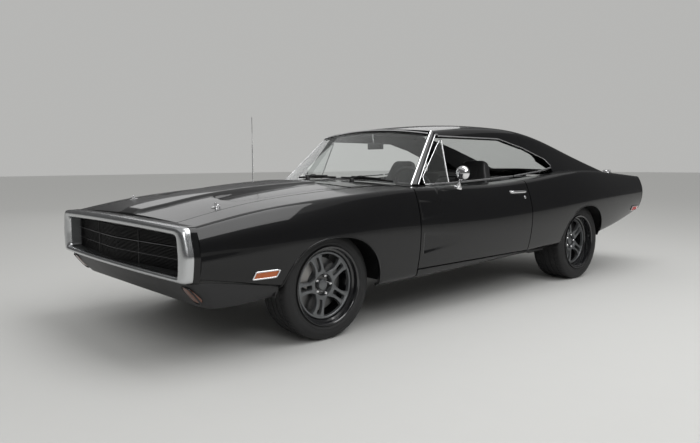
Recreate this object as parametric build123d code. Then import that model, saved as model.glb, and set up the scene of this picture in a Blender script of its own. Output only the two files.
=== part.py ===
"""Two-door fastback muscle car, as an assembly of separate pieces.

Frame: millimetres, +Z up, the nose towards -Y, the driver's side towards +X,
origin on the ground below the middle of the car.
"""

import math
import os

from build123d import *

# Driving dimensions of the whole car
LENGTH = 5296.0
WHEELBASE = 2972.0
FRONT_AXLE_Y = -1663.0
REAR_AXLE_Y = FRONT_AXLE_Y + WHEELBASE
NOSE_Y = -2535.0
TAIL_Y = 2575.0
CLEAR = 0.3
PANEL_GAP = 9.0

# Wall thicknesses
SKIN = 25.0
DOOR_WALL = 110.0
ROOF_WALL = 35.0
GLASS = 6.0
SHEET = 12.0

# Wheels and tyres
FRONT_TRACK = 1516.0
REAR_TRACK = 1504.0
FRONT_TYRE_R = 330.0
REAR_TYRE_R = 340.0
FRONT_TYRE_W = 250.0
REAR_TYRE_W = 285.0
BEAD_R = 232.0
RIM_WALL = 10.0
FRONT_DISH = 45.0
REAR_DISH = 75.0
HUB_R = 78.0
HUB_BORE_R = 30.0
SPOKE_PAIRS = 5
DISC_R = 165.0
KINGPIN_X = 700.0

# Wheel arches in the body sides
FRONT_ARCH_Z = 255.0
FRONT_ARCH_R = 390.0
REAR_ARCH_Y = 1320.0
REAR_ARCH_Z = 300.0
REAR_ARCH_R = 378.0

# Panel seams
HOOD_HALF = 664.0
HOOD_REAR_Y = -1290.0
HOOD_REAR_Z = 931.0
DOOR_FRONT_Y = -914.0
DOOR_REAR_Y = 434.0
SILL_Z = 345.0
DECK_HALF = 535.0
DECK_FRONT_Y = 1484.0
CABIN_HALF = 748.0
CABIN_REAR_Y = 1330.0
PILLAR_FOOT_HALF = 796.0
PILLAR_FOOT_Y = -690.0

# Windscreen and rear window
SCREEN_BASE_Y = -790.0
SCREEN_BASE_Z = 930.0
SCREEN_TOP_Y = -390.0
SCREEN_TOP_Z = 1300.0
SCREEN_BOW = 90.0
SCREEN_HALF = 745.0
BACKLIGHT_HALF = 545.0
BACKLIGHT_TOP = (690.0, 1286.0)
BACKLIGHT_FOOT = (CABIN_REAR_Y - CLEAR, 1004.0)

# Body sections, nose to tail. Columns: y, rocker x, rocker z, crease x, crease z,
# shoulder x, shoulder z, centre-line z
BODY_SECTIONS = [
    (NOSE_Y, 900, 452, 922, 600, 878, 746, 772),
    (-2150, 915, 385, 948, 622, 892, 812, 856),
    (-1663, 912, 295, 957, 635, 895, 858, 912),
    (-1000, 905, 272, 948, 640, 884, 894, 940),
    (-200, 905, 292, 942, 645, 862, 892, 940),
    (600, 908, 325, 955, 672, 874, 930, 962),
    (1309, 905, 350, 973, 715, 874, 985, 1004),
    (1950, 890, 445, 948, 742, 848, 962, 984),
    (TAIL_Y, 850, 560, 892, 748, 812, 913, 930),
]
ROCKER_TUCK = 60.0
ROCKER_RISE = 30.0
SIDE_BULGE = 12.0

# Roof sections, cowl to tail. Columns: y, foot x, edge x, edge z, crown z
ROOF_FOOT_Z = 870.0
ROOF_SECTIONS = [
    (-1050, 800, 640, 1228, 1256),
    (-400, 792, 622, 1286, 1312),
    (150, 788, 612, 1304, 1335),
    (650, 788, 612, 1286, 1318),
    (1060, 792, 628, 1210, 1236),
    (1520, 802, 672, 1086, 1106),
    (1960, 815, 752, 966, 984),
]
# Side window outline in side view: y, z
SIDE_WINDOW = [(-680, 840), (-680, 966), (-352, 1258), (378, 1252), (690, 1182),
               (1000, 1084), (1072, 1024), (1030, 996), (860, 840)]
VENT_GLASS = [(-668, 870), (-668, 962), (-360, 1236), (-346, 1236), (-400, 870)]

# Pressings. Spine of the hood in plan: x, y. Scallop of the hood in side view: y, z
SPINE_HEIGHT = 14.0
SPINE_PLAN = [(105, NOSE_Y - 20), (175, -2340), (290, HOOD_REAR_Y), (290, -900)]
HOOD_SCALLOP_X = (330.0, 520.0)
HOOD_SCALLOP = [(-2100, 838), (-1420, 920), (-1420, 990), (-2100, 990)]
# Scallops of each door, pressed in most at the front. Columns: front y, rear y, low z,
# high z, floor x at the front of the low edge, side x past the rear, lean of the side
DOOR_SCALLOPS = [
    (-850, -470, 681, 819, 930, 941, -0.25),
    (-850, -470, 454, 595, 922, 936, 0.09),
]

# Hinges
SHUT_SLANT = 0.6
HOOD_HINGE = (-1410.0, 855.0)
DECK_HINGE = (1590.0, 946.0)
DOOR_HINGE = (921.0, -880.0)
DOOR_HINGE_HEIGHTS = (540.0, 690.0)
PIN_R = 8.0

# Front rails of the floor pan
RAIL_X = (395.0, 452.0)

# Steering
COLUMN_TILT = 25.0
WHEEL_CENTRE = (405.0, -395.0, 860.0)
HELM_R = 185.0


def block(x, y, z):
    """Box between the (low, high) pairs of x, y and z."""
    size = [high - low for low, high in (x, y, z)]
    middle = [(low + high) / 2 for low, high in (x, y, z)]
    return Pos(*middle) * Box(*size)


def side_prism(outline, x):
    """Outline of (y, z) points carried across the car between two x values."""
    face = make_face(Polyline(*outline, close=True))
    return extrude(Plane.YZ.offset(x[0]) * face, amount=x[1] - x[0])


def both(half):
    """A piece and its mirror image across the middle of the car."""
    return [half, mirror(half, about=Plane.YZ)]


def cross_axle(radius, x, y, z):
    """Cylinder along X between two x values."""
    return Pos((x[0] + x[1]) / 2, y, z) * Rot(0, 90, 0) * Cylinder(radius, x[1] - x[0])


def body_section(row, inset, y):
    """Closed outline of the body at one station, moved inwards by inset."""
    _, rocker_x, rocker_z, crease_x, crease_z, shoulder_x, shoulder_z, centre_z = row
    foot = (rocker_x - ROCKER_TUCK - inset, rocker_z + inset)
    rocker = (rocker_x - inset, rocker_z + ROCKER_RISE + inset)
    crease = (crease_x - inset, crease_z)
    shoulder = (shoulder_x - inset, shoulder_z - inset)
    crown = (0, centre_z - inset)

    def bowed(a, b):
        return ((a[0] + b[0]) / 2 + SIDE_BULGE, (a[1] + b[1]) / 2)

    def place(point, side=1):
        return (side * point[0], y, point[1])

    edges = [Line(place(foot, -1), place(foot))]
    edges.append(Line(place(foot), place(rocker)))
    edges.append(ThreePointArc(place(rocker), place(bowed(rocker, crease)), place(crease)))
    edges.append(ThreePointArc(place(crease), place(bowed(crease, shoulder)), place(shoulder)))
    edges.append(ThreePointArc(place(shoulder), place(crown), place(shoulder, -1)))
    edges.append(ThreePointArc(place(shoulder, -1), place(bowed(crease, shoulder), -1), place(crease, -1)))
    edges.append(ThreePointArc(place(crease, -1), place(bowed(rocker, crease), -1), place(rocker, -1)))
    edges.append(Line(place(rocker, -1), place(foot, -1)))
    return Face(Wire(edges))


def body_form(inset=0.0):
    """The lofted lower body. An inset form runs past both ends, so a shell stays open there."""
    past = 5.0 if inset else 0.0
    stations = [row[0] for row in BODY_SECTIONS]
    stations[0] -= past
    stations[-1] += past
    faces = [body_section(row, inset, y) for row, y in zip(BODY_SECTIONS, stations)]
    return loft(faces)


def roof_section(row, inset):
    """Closed outline of roof and pillars at one station, moved inwards by inset."""
    y, foot_x, edge_x, edge_z, crown_z = row
    foot = (foot_x - inset, ROOF_FOOT_Z)
    edge = (edge_x - inset, edge_z - inset)
    edges = [
        Line((-foot[0], y, foot[1]), (foot[0], y, foot[1])),
        Line((foot[0], y, foot[1]), (edge[0], y, edge[1])),
        ThreePointArc((edge[0], y, edge[1]), (0, y, crown_z - inset), (-edge[0], y, edge[1])),
        Line((-edge[0], y, edge[1]), (-foot[0], y, foot[1])),
    ]
    return Face(Wire(edges))


def roof_form(inset=0.0):
    """The lofted roof, pillars and sail panels as one solid."""
    return loft([roof_section(row, inset) for row in ROOF_SECTIONS])


def screen_bore(radius_less=0.0):
    """Cylinder along the windscreen's rake, whose wall is the curved windscreen."""
    rake = Vector(0, SCREEN_TOP_Y - SCREEN_BASE_Y, SCREEN_TOP_Z - SCREEN_BASE_Z).normalized()
    bow_r = (SCREEN_HALF**2 + SCREEN_BOW**2) / (2 * SCREEN_BOW)
    plane = Plane(origin=(0, SCREEN_BASE_Y, SCREEN_BASE_Z), x_dir=(1, 0, 0), z_dir=rake)
    reach = 4000.0
    disc = Pos(0, bow_r - SCREEN_BOW) * Circle(bow_r - radius_less)
    return extrude(plane * disc, amount=reach, both=True)


def wheel(tyre_r, tyre_w, dish, disc_face):
    """Wheel about the X axis, outside towards +X: barrel, spokes, hub and brake disc in one solid."""
    half = tyre_w / 2
    barrel = [(-half + 14, BEAD_R), (-half + 14, BEAD_R + 10), (-half, BEAD_R + 10), (-half, BEAD_R - RIM_WALL),
              (half - dish - 40, BEAD_R - RIM_WALL - 8), (half, BEAD_R - RIM_WALL), (half, BEAD_R + 10),
              (half - 14, BEAD_R + 10), (half - 14, BEAD_R - 2), (half - dish - 36, BEAD_R - 2)]
    ring = revolve(Plane.XY * make_face(Polyline(*barrel, close=True)), Axis.X)
    face_x = half - dish
    spoke_t = 30.0
    plate = cross_axle(BEAD_R - RIM_WALL - 2, (face_x - spoke_t, face_x), 0, 0)
    openings = []
    pitch = 360.0 / SPOKE_PAIRS
    inner_r, outer_r = HUB_R + 22, BEAD_R - RIM_WALL - 16
    for number in range(SPOKE_PAIRS):
        turn = Rot(number * pitch, 0, 0)
        wide = Polyline((0, inner_r), (outer_r * 0.36, outer_r * 0.80), (0, outer_r),
                        (-outer_r * 0.36, outer_r * 0.80), close=True)
        fan = make_face(wide)
        slot = Pos(0, (inner_r + outer_r) / 2 + 12) * RectangleRounded(22, outer_r - inner_r - 26, 10)
        openings.append(turn * extrude(Plane.YZ.offset(face_x - spoke_t - 1) * fan, amount=spoke_t + 2))
        openings.append(turn * Rot(pitch / 2, 0, 0)
                        * extrude(Plane.YZ.offset(face_x - spoke_t - 1) * slot, amount=spoke_t + 2))
    plate = plate - openings
    hub = cross_axle(HUB_R, (disc_face, face_x + 6), 0, 0)
    disc = cross_axle(DISC_R, (disc_face, disc_face + 28), 0, 0)
    bore = cross_axle(HUB_BORE_R, (disc_face - 1, face_x - 20), 0, 0)
    return ring + plate + hub + disc - bore


def tyre(tyre_r, tyre_w):
    """Tyre about the X axis, seated on the rim."""
    half = tyre_w / 2
    seat = half - 14 - CLEAR
    outline = Wire([
        Line((-seat, BEAD_R + CLEAR), (seat, BEAD_R + CLEAR)),
        Line((seat, BEAD_R + CLEAR), (seat, BEAD_R + 12)),
        ThreePointArc((seat, BEAD_R + 12), (half, (BEAD_R + tyre_r) / 2 + 4), (half - 16, tyre_r - 10)),
        Line((half - 16, tyre_r - 10), (half - 34, tyre_r)),
        Line((half - 34, tyre_r), (-half + 34, tyre_r)),
        Line((-half + 34, tyre_r), (-half + 16, tyre_r - 10)),
        ThreePointArc((-half + 16, tyre_r - 10), (-half, (BEAD_R + tyre_r) / 2 + 4), (-seat, BEAD_R + 12)),
        Line((-seat, BEAD_R + 12), (-seat, BEAD_R + CLEAR)),
    ])
    return revolve(Face(outline), Axis.X)


def slanted(y, top_z, towards, reach=3000.0):
    """Half space behind a shut face that passes y at top_z and leans by SHUT_SLANT below it."""
    lean = -SHUT_SLANT * towards
    outline = [(y, top_z), (y - lean * 600, top_z - 600), (y - lean * 600 + towards * reach, top_z - 600),
               (y + towards * reach, top_z + 300), (y + lean * 300, top_z + 300)]
    return side_prism(outline, (-1200, 1200))


def upper_side_x(z):
    """Plane of the side glass: how far out it stands at a height."""
    foot, edge = ROOF_SECTIONS[2][1], ROOF_SECTIONS[2][2]
    lean = (foot - edge) / (ROOF_SECTIONS[2][3] - ROOF_FOOT_Z)
    return foot - 16 - lean * (z - ROOF_FOOT_Z)


outer = body_form()
inner = body_form(SKIN)
door_inner = body_form(DOOR_WALL)
skin = outer - inner
half_gap = PANEL_GAP / 2
wide = (-1200, 1200)
nodes = {}

# Wheel arches
front_arch = cross_axle(FRONT_ARCH_R, (600, 1200), FRONT_AXLE_Y, FRONT_ARCH_Z)
front_arch += block((600, 1200), (FRONT_AXLE_Y - 384, FRONT_AXLE_Y + 384), (100, FRONT_ARCH_Z + 60))
rear_arch = cross_axle(REAR_ARCH_R, (600, 1200), REAR_ARCH_Y, REAR_ARCH_Z)

# Hood and cowl
hood_cut = slanted(HOOD_REAR_Y - half_gap, HOOD_REAR_Z, 1)
hood = skin & block((-HOOD_HALF + half_gap, HOOD_HALF - half_gap), (NOSE_Y + 2, -900), (640, 1100))
spine = make_face(Polyline(*SPINE_PLAN, *[(-x, y) for x, y in reversed(SPINE_PLAN)], close=True))
spine = extrude(Pos(0, 0, 700) * spine, amount=400) & (body_form(-SPINE_HEIGHT) - inner)
hood += spine & block(wide, (NOSE_Y + 2, -900), (700, 1100))
hood -= both(side_prism(HOOD_SCALLOP, HOOD_SCALLOP_X))
hood -= hood_cut
cowl_cut = slanted(HOOD_REAR_Y + half_gap, HOOD_REAR_Z, 1)
cowl = skin & (block((-HOOD_HALF - half_gap + CLEAR, HOOD_HALF + half_gap - CLEAR), (-1600, DOOR_FRONT_Y), (700, 1100))
               + block((-PILLAR_FOOT_HALF, PILLAR_FOOT_HALF), (DOOR_FRONT_Y, PILLAR_FOOT_Y), (700, 1100)))
cowl = cowl & cowl_cut
firewall = block((-780, 780), (-915, -903), (300, 1100)) & inner
firewall += [post & inner for post in both(block((740, 780), (-915, -850), (315 + CLEAR, 1100)))]
firewall -= both(block((RAIL_X[0] - CLEAR, RAIL_X[1] + CLEAR), (-950, -850), (200, 460 + CLEAR)))
firewall -= block((-163, 163), (-950, -850), (200, 533))
brackets = []
for height in DOOR_HINGE_HEIGHTS:
    x, y = DOOR_HINGE
    arm = block((770, x), (y - 8, y + 8), (height - 15, height + 15))
    arm += Pos(x, y, height) * Cylinder(PIN_R, 78)
    arm += Pos(x, y, height) * Cylinder(PIN_R + 3, 30)
    brackets += both(arm)
nodes["cowl_panel"] = cowl + firewall + brackets

hinge_y, hinge_z = HOOD_HINGE
hood_lug = block((592, 616), (hinge_y - 20, hinge_y + 20), (hinge_z - 18, 960)) & outer
hood_lug -= cross_axle(PIN_R + CLEAR, (580, 630), hinge_y, hinge_z)
hood_lug -= skin
nodes["hood"] = hood + both(hood_lug)

# Front fenders, each with the lug of its hood hinge
fender = skin & block((0, 1200), (NOSE_Y, DOOR_FRONT_Y - half_gap), (200, 1100))
fender -= block((0, HOOD_HALF + half_gap), (-2700, -800), (600, 1200))
fender -= block((0, 845), (-2700, -800), (200, 560))
fender -= front_arch
shut = [(975, DOOR_FRONT_Y - half_gap + 8), (875, DOOR_FRONT_Y - half_gap - 72), (875, -800), (975, -800)]
fender -= extrude(Pos(0, 0, 200) * make_face(Polyline(*shut, close=True)), amount=1000)
lug = block((626, 700), (hinge_y - 13, hinge_y + 13), (hinge_z - 18, 960)) & inner
lug -= block((0, HOOD_HALF + half_gap), (hinge_y - 170, hinge_y + 130), (hinge_z + 9, 1000))
lug += cross_axle(PIN_R, (590, 640), hinge_y, hinge_z)
fender = fender + lug
nodes["fender_left"], nodes["fender_right"] = both(fender)

# Doors
door = (outer - door_inner) & block((0, 1200), (DOOR_FRONT_Y + half_gap, DOOR_REAR_Y - half_gap), (SILL_Z + 8, 1100))
door -= block((0, CABIN_HALF + 2), (-1000, 600), (200, 1100))
door -= block((0, PILLAR_FOOT_HALF + 10), (-1000, PILLAR_FOOT_Y + 6), (200, 1100))
shut = [(960, DOOR_REAR_Y - half_gap), (700, DOOR_REAR_Y - half_gap - 42), (700, 600), (960, 600)]
door -= extrude(Pos(0, 0, 200) * make_face(Polyline(*shut, close=True)), amount=1000)
for height in DOOR_HINGE_HEIGHTS:
    x, y = DOOR_HINGE
    door -= block((740, x + 14), (y - 60, y + 19), (height - 21, height + 21))
    door -= Pos(x, y, height) * Cylinder(PIN_R + CLEAR, 80)
for front, rear, low, high, floor_x, side_x, lean in DOOR_SCALLOPS:
    plan = [(floor_x, front), (side_x, rear), (1100, rear), (1100, front)]
    face = make_face(Polyline(*plan, close=True))
    rise = Vector(lean * (high - low), 0, high - low)
    door -= extrude(Pos(0, 0, low) * face, amount=rise.length, dir=rise.normalized())
nodes["door_left"], nodes["door_right"] = both(door)

corners = [(upper_side_x(z), y, z) for y, z in VENT_GLASS]
vent = extrude(make_face(Polyline(*corners, close=True)), amount=5) - outer
nodes["vent_window_left"], nodes["vent_window_right"] = both(vent)

handle = block((850, 926), (157, 374), (821, 843))
handle -= block((800, 912), (190, 341), (815, 850))
mirror_head = Pos(930, -464, 993) * Rot(90, 0, 0) * Cylinder(53, 46)
stalk_foot, stalk_top = Vector(868, -464, 870), Vector(922, -464, 965)
stalk = extrude(Plane(stalk_foot, z_dir=stalk_top - stalk_foot) * Circle(12), amount=(stalk_top - stalk_foot).length)
fittings = [piece - outer for piece in (handle, mirror_head + stalk)]
nodes["door_fittings_left"] = Compound(children=[piece for part in fittings for piece in part.solids()])
nodes["door_fittings_right"] = mirror(nodes["door_fittings_left"], about=Plane.YZ)

# Trunk lid
deck = skin & block((-DECK_HALF + half_gap, DECK_HALF - half_gap), (1300, TAIL_Y - 8), (700, 1100))
deck -= slanted(DECK_FRONT_Y + half_gap, 1002, -1)
hinge_y, hinge_z = DECK_HINGE
deck_lug = block((468, 492), (hinge_y - 20, hinge_y + 20), (hinge_z - 18, 1050)) & outer
deck_lug -= cross_axle(PIN_R + CLEAR, (460, 500), hinge_y, hinge_z)
deck_lug -= skin
nodes["trunk_lid"] = deck + both(deck_lug)

# Rear quarters, each with the lug of its lid hinge
quarter = skin & block((0, 1200), (DOOR_REAR_Y + half_gap, TAIL_Y), (200, 1200))
quarter -= block((0, CABIN_HALF), (0, CABIN_REAR_Y), (640, 1200))
lid_opening = block((-1, DECK_HALF + half_gap), (1300, TAIL_Y + 10), (700, 1200))
quarter -= lid_opening - slanted(DECK_FRONT_Y - half_gap, 1002, -1)
quarter -= block((-1, 795), (0, TAIL_Y + 10), (200, 620))
quarter -= rear_arch
lug = block((500, 580), (hinge_y - 18, hinge_y + 18), (hinge_z - 18, 1050)) & inner
lug -= block((0, DECK_HALF + half_gap), (1500, 1700), (hinge_z + 14, 1050))
lug += cross_axle(PIN_R, (466, 510), hinge_y, hinge_z)
quarter = quarter + lug
nodes["quarter_left"], nodes["quarter_right"] = both(quarter)

# Roof with its pillars and sail panels
cabin = roof_form(ROOF_WALL) & (block(wide, (-2000, BACKLIGHT_TOP[0]), (0, 2000))
                                + block((-BACKLIGHT_HALF, BACKLIGHT_HALF), (-2000, 3000), (0, 2000)))
(top_y, top_z), (foot_y, foot_z) = BACKLIGHT_TOP, BACKLIGHT_FOOT
PANE = 8.0
recess = [(top_y, top_z - PANE), (foot_y, foot_z - PANE), (foot_y, 900), (2600, 900), (2600, 1500), (top_y, 1500)]
roof = (roof_form() & screen_bore()) - outer - cabin
roof -= side_prism(recess, (-BACKLIGHT_HALF, BACKLIGHT_HALF))
roof -= both(side_prism(SIDE_WINDOW, (300, 1000)))
nodes["roof_panel"] = roof

# Windscreen and rear window
screen = (screen_bore() - screen_bore(GLASS)) & roof_form(ROOF_WALL + CLEAR)
screen = screen & block(wide, (-1400, 0), (0, 2000))
nodes["windscreen"] = screen - outer
pane = [(top_y + CLEAR, top_z), (foot_y, foot_z), (foot_y, foot_z - PANE), (top_y + CLEAR, top_z - PANE)]
nodes["rear_window"] = side_prism(pane, (-BACKLIGHT_HALF + CLEAR, BACKLIGHT_HALF - CLEAR)) - outer

# Floor pan: sills, floor, tunnel, trunk floor and rails
sill_box = block((790, 1200), (DOOR_FRONT_Y + half_gap, DOOR_REAR_Y + half_gap - CLEAR), (200, SILL_Z))
floor = block((-795, 795), (-903, 860), (300, 315))
floor += both(sill_box & outer)
floor -= block((-162, 162), (-903, 860), (290, 400))
tunnel = block((-174, 174), (-903, 860), (300, 532)) - block((-162, 162), (-950, 900), (200, 520))
floor += tunnel
floor += block((-795, 795), (848, 860), (300, 560)) - block((-162, 162), (800, 900), (200, 520))
floor += block((-545, 545), (848, 2560), (545, 560))
floor += both(block((480, 540), (855, 2560), (480, 546)))
floor += both(block(RAIL_X, (-2470, -850), (380, 460)))
floor += both(block(RAIL_X, (-910, -850), (300, 460)))
floor -= both(block((470, 550), (1200, 1420), (470, 500)))
jack_pads = [block((700, 780), (y - 40, y + 40), (288, 301)) for y in (-700, 700)]
for pad in jack_pads:
    floor += both(pad)
nodes["floor_pan"] = floor

# Wheelhouses: aprons beside the engine, tubs over the rear wheels
apron = block((452, 462), (-2470, -915 - CLEAR), (380, 700))
apron += block((452, 1000), (-2100, -1230), (740, 752)) & body_form(SKIN + CLEAR)
apron += block((452, 462), (-2100, -1230), (690, 752))
tub = cross_axle(412, (548, 1200), REAR_AXLE_Y, REAR_TYRE_R) - cross_axle(402, (558, 1200), REAR_AXLE_Y, REAR_TYRE_R)
tub = tub & block((500, 1200), (0, 2600), (545, 900)) & body_form(SKIN + CLEAR)
nodes["wheelhouses"] = Compound(children=[s for piece in (apron, tub) for half in both(piece) for s in half.solids()])

# Engine with its gearbox as plain blocks, and the driveshaft
engine = block((-290, 290), (-1780, -1080), (290 + CLEAR, 765))
engine += block((-140, 140), (-1080, -350), (255, 495))
nodes["engine_block"] = engine
shaft_ends = (-350 + CLEAR, 1105 - CLEAR)
shaft_length = shaft_ends[1] - shaft_ends[0]
nodes["driveshaft"] = Pos(0, sum(shaft_ends) / 2, REAR_TYRE_R) * Rot(90, 0, 0) * Cylinder(42, shaft_length)

# Front crossmember with control arms
axle_y, axle_z = FRONT_AXLE_Y, FRONT_TYRE_R
cross = block((-450, 450), (axle_y - 65, axle_y + 65), (205, 290))
ARM_LOW, ARM_HIGH = 245.0, 470.0
side = block((395, 450), (axle_y - 60, axle_y + 60), (280, 380))
side += block((440, KINGPIN_X + 22), (axle_y - 28, axle_y + 28), (215, ARM_LOW))
side += Pos(KINGPIN_X, axle_y, ARM_LOW + 12) * Cylinder(12, 26)
cross += both(side)
upper = block((462 + CLEAR, KINGPIN_X + 22), (axle_y - 24, axle_y + 24), (ARM_HIGH, ARM_HIGH + 22))
upper += Pos(KINGPIN_X, axle_y, ARM_HIGH - 12) * Cylinder(12, 26)
nodes["front_crossmember"] = Compound(children=cross.solids() + [s for half in both(upper) for s in half.solids()])


def caliper(x, y, z, angle, reach):
    """Brake caliper around a disc, with the plate that carries it; x is the disc's inner face."""
    jaw = cross_axle(203, (x - 26, x + 54), 0, 0) - cross_axle(112, (x - 40, x + 70), 0, 0)
    jaw -= cross_axle(DISC_R + 5, (x - 5, x + 33), 0, 0)
    jaw = jaw & block((x - 100, x + 100), (-78, 78), (0, 300))
    jaw += block((x - reach, x - 24), (-34, 34), (20, 190))
    return Pos(0, y, z) * Rot(angle, 0, 0) * jaw


# Steering knuckles with their calipers
spindle_end = FRONT_TRACK / 2 + FRONT_TYRE_W / 2 - FRONT_DISH - 23
front_disc_x = FRONT_TRACK / 2 - 10
knuckle = block((KINGPIN_X - 18, KINGPIN_X + 18), (axle_y - 30, axle_y + 30), (ARM_LOW + CLEAR, ARM_HIGH - CLEAR))
knuckle += cross_axle(HUB_BORE_R - CLEAR, (KINGPIN_X, spindle_end), axle_y, axle_z)
knuckle += caliper(front_disc_x, axle_y, axle_z, 55, front_disc_x - KINGPIN_X + 10)
for z in (ARM_LOW + 12, ARM_HIGH - 12):
    knuckle -= Pos(KINGPIN_X, axle_y, z) * Cylinder(12 + CLEAR, 30)
nodes["knuckle_left"], nodes["knuckle_right"] = both(knuckle)

# Rear axle with leaf springs
axle_y, axle_z = REAR_AXLE_Y, REAR_TYRE_R
rear_disc_x = REAR_TRACK / 2 - 40
spindle_end = REAR_TRACK / 2 + REAR_TYRE_W / 2 - REAR_DISH - 23
axle = cross_axle(45, (-690, 690), axle_y, axle_z) + Pos(0, axle_y, axle_z) * Sphere(145)
axle += Pos(0, axle_y - 152, axle_z) * Rot(90, 0, 0) * Cylinder(60, 104)
spring = [(900, 425), (1309, 283), (2020, 425), (2045, 425), (2045, 480), (2005, 480), (2005, 448),
          (1309, 307), (925, 448), (925, 480), (890, 480), (890, 425)]
side = side_prism(spring, (482, 538))
side += cross_axle(HUB_BORE_R - CLEAR, (680, spindle_end), axle_y, axle_z)
side += caliper(rear_disc_x, axle_y, axle_z, -50, rear_disc_x - 670)
nodes["rear_axle"] = axle + both(side)

# Exhaust and fuel tank
pipe = Pos(330, 300, 240) * Rot(90, 0, 0) * Cylinder(28, 1640)
pipe += Pos(330, 560, 240) * Rot(90, 0, 0) * Cylinder(56, 560)
pipe += block((310, 350), (540, 580), (280, 300))
pipe += block((310, 350), (-490, -430), (250, 300))
nodes["exhaust"] = Compound(children=[s for half in both(pipe) for s in half.solids()])
nodes["fuel_tank"] = side_prism([(1830, 380), (2440, 440), (2440, 545), (1830, 545)], (-280, 280))

# Nose: loop bumper, grille, valance
LOOP_OUTER = (935, 440, 752, 70)
LOOP_INNER = (866, 506, 706, 45)
NOSE_BOW_R = 9500.0
GRILLE_DEPTH = 62.0
SLATS = 11


def nose_plate(half_width, low, high, radius, y):
    """Rounded rectangle facing forwards, carried between two y values."""
    plane = Plane(origin=(0, y[1], (low + high) / 2), x_dir=(1, 0, 0), z_dir=(0, -1, 0))
    return extrude(plane * RectangleRounded(2 * half_width, high - low, radius), amount=y[1] - y[0])


front_y = -LENGTH / 2
bow = Pos(0, front_y + NOSE_BOW_R, 600) * Cylinder(NOSE_BOW_R, 800)
loop = nose_plate(*LOOP_OUTER, (front_y - 20, NOSE_Y - CLEAR)) - nose_plate(*LOOP_INNER, (front_y - 40, NOSE_Y + 20))
nodes["bumper_loop"] = loop & bow
half_width, low, high, radius = LOOP_INNER
fit = (half_width - CLEAR, low + CLEAR, high - CLEAR, radius)
grille = nose_plate(*fit, (front_y, NOSE_Y - CLEAR)) & (Pos(0, GRILLE_DEPTH, 0) * bow)
pitch = (high - low) / (SLATS + 1)
for number in range(SLATS):
    z = low + pitch * (number + 1)
    slat = block((-half_width + 1, half_width - 1), (front_y, NOSE_Y - CLEAR), (z - 2, z + 2))
    grille += slat & (Pos(0, GRILLE_DEPTH - 14, 0) * bow) & nose_plate(*fit, (front_y, NOSE_Y))
nodes["grille"] = grille

VALANCE = [(-2592, 440 - CLEAR), (-2540, 440 - CLEAR), (-2440, 350), (-2400, 322), (-2412, 307), (-2470, 312)]
valance = side_prism(VALANCE, (-880, 880)) & (Pos(0, 20, -200) * bow)
valance += [flank - outer for flank in both(block((842, 866), (-2460, -2058), (322, 470)))]
LAMP = [(-2583, 428), (-2571, 440), (-2485, 350), (-2497, 338)]
turn_lamp = side_prism(LAMP, (690, 862)) & (Pos(0, 12, -200) * bow)
valance -= both(turn_lamp)
nodes["front_valance"] = valance
nodes["lamps_amber"] = Compound(children=[s for p in (turn_lamp, block((880, 946), (-2238, -2077), (444, 492)) - outer)
                                          for half in both(p) for s in half.solids()])

# Tail: panel, lamps, bumper
back_y = LENGTH / 2
TAIL = [(TAIL_Y + CLEAR, 905), (2594, 903), (2624, 760), (2588, 760), (2588, 545), (TAIL_Y + CLEAR, 545)]
tail = side_prism(TAIL, (-800, 800))
LENS = [(2590, 878), (2601, 878), (2619, 792), (2590, 792)]
pocket = [(2590 - CLEAR, 878 + CLEAR), (2660, 878 + CLEAR), (2660, 792 - CLEAR), (2590 - CLEAR, 792 - CLEAR)]
tail -= both(side_prism(pocket, (90 - CLEAR, 745 + CLEAR)))
nodes["tail_panel"] = tail
red = [side_prism(LENS, (90, 745)), block((820, 886), (2334, 2538), (565, 616)) - outer]
nodes["lamps_red"] = Compound(children=[s for piece in red for half in both(piece) for s in half.solids()])
BAR = [(2588 + CLEAR, 760 - CLEAR), (2640, 760 - CLEAR), (back_y, 738), (2610, 590), (2588 + CLEAR, 590)]
bumper = side_prism(BAR, (-852, 852))
bumper -= block((-165, 165), (2604, 2700), (500, 742))
bumper -= [Pos(x, 2600, 705) * Rot(90, 0, 0) * Cylinder(3.5, 60) for x in (-89, 89)]
nodes["rear_bumper"] = bumper

# Fuel cap and antenna
nodes["fuel_cap"] = Pos(790, 1990, 960) * Cylinder(52, 50) - outer - roof
antenna = Pos(-800, -1101, 890) * Cylinder(16, 60) + Pos(-800, -1101, 1180) * Cylinder(3, 562)
nodes["antenna"] = antenna - outer

# Cabin: dashboard with column, steering wheel, seats, bulkhead
DASH = [(-903 + CLEAR, 900), (-560, 900), (-520, 868), (-530, 730), (-600, 640), (-640, 640), (-903 + CLEAR, 760)]
dash = side_prism(DASH, (-735, 735)) & body_form(SKIN + CLEAR)
helm = Plane(origin=WHEEL_CENTRE, x_dir=(1, 0, 0), z_dir=(0, math.cos(math.radians(COLUMN_TILT)),
                                                         math.sin(math.radians(COLUMN_TILT))))
column = extrude(helm.offset(-230) * Circle(30), amount=195) + extrude(helm.offset(-40) * Circle(14), amount=50)
nodes["dashboard"] = dash + column
rim = helm * Torus(HELM_R, 14)
rim += extrude(helm.offset(-22) * Circle(46), amount=40)
for angle in (0, 180, 270):
    rim += extrude(helm.offset(-7) * Rot(0, 0, angle) * Pos(HELM_R / 2, 0) * Rectangle(HELM_R - 4, 34), amount=12)
rim -= extrude(helm.offset(-45) * Circle(14 + CLEAR), amount=57)
nodes["steering_wheel"] = rim

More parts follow.
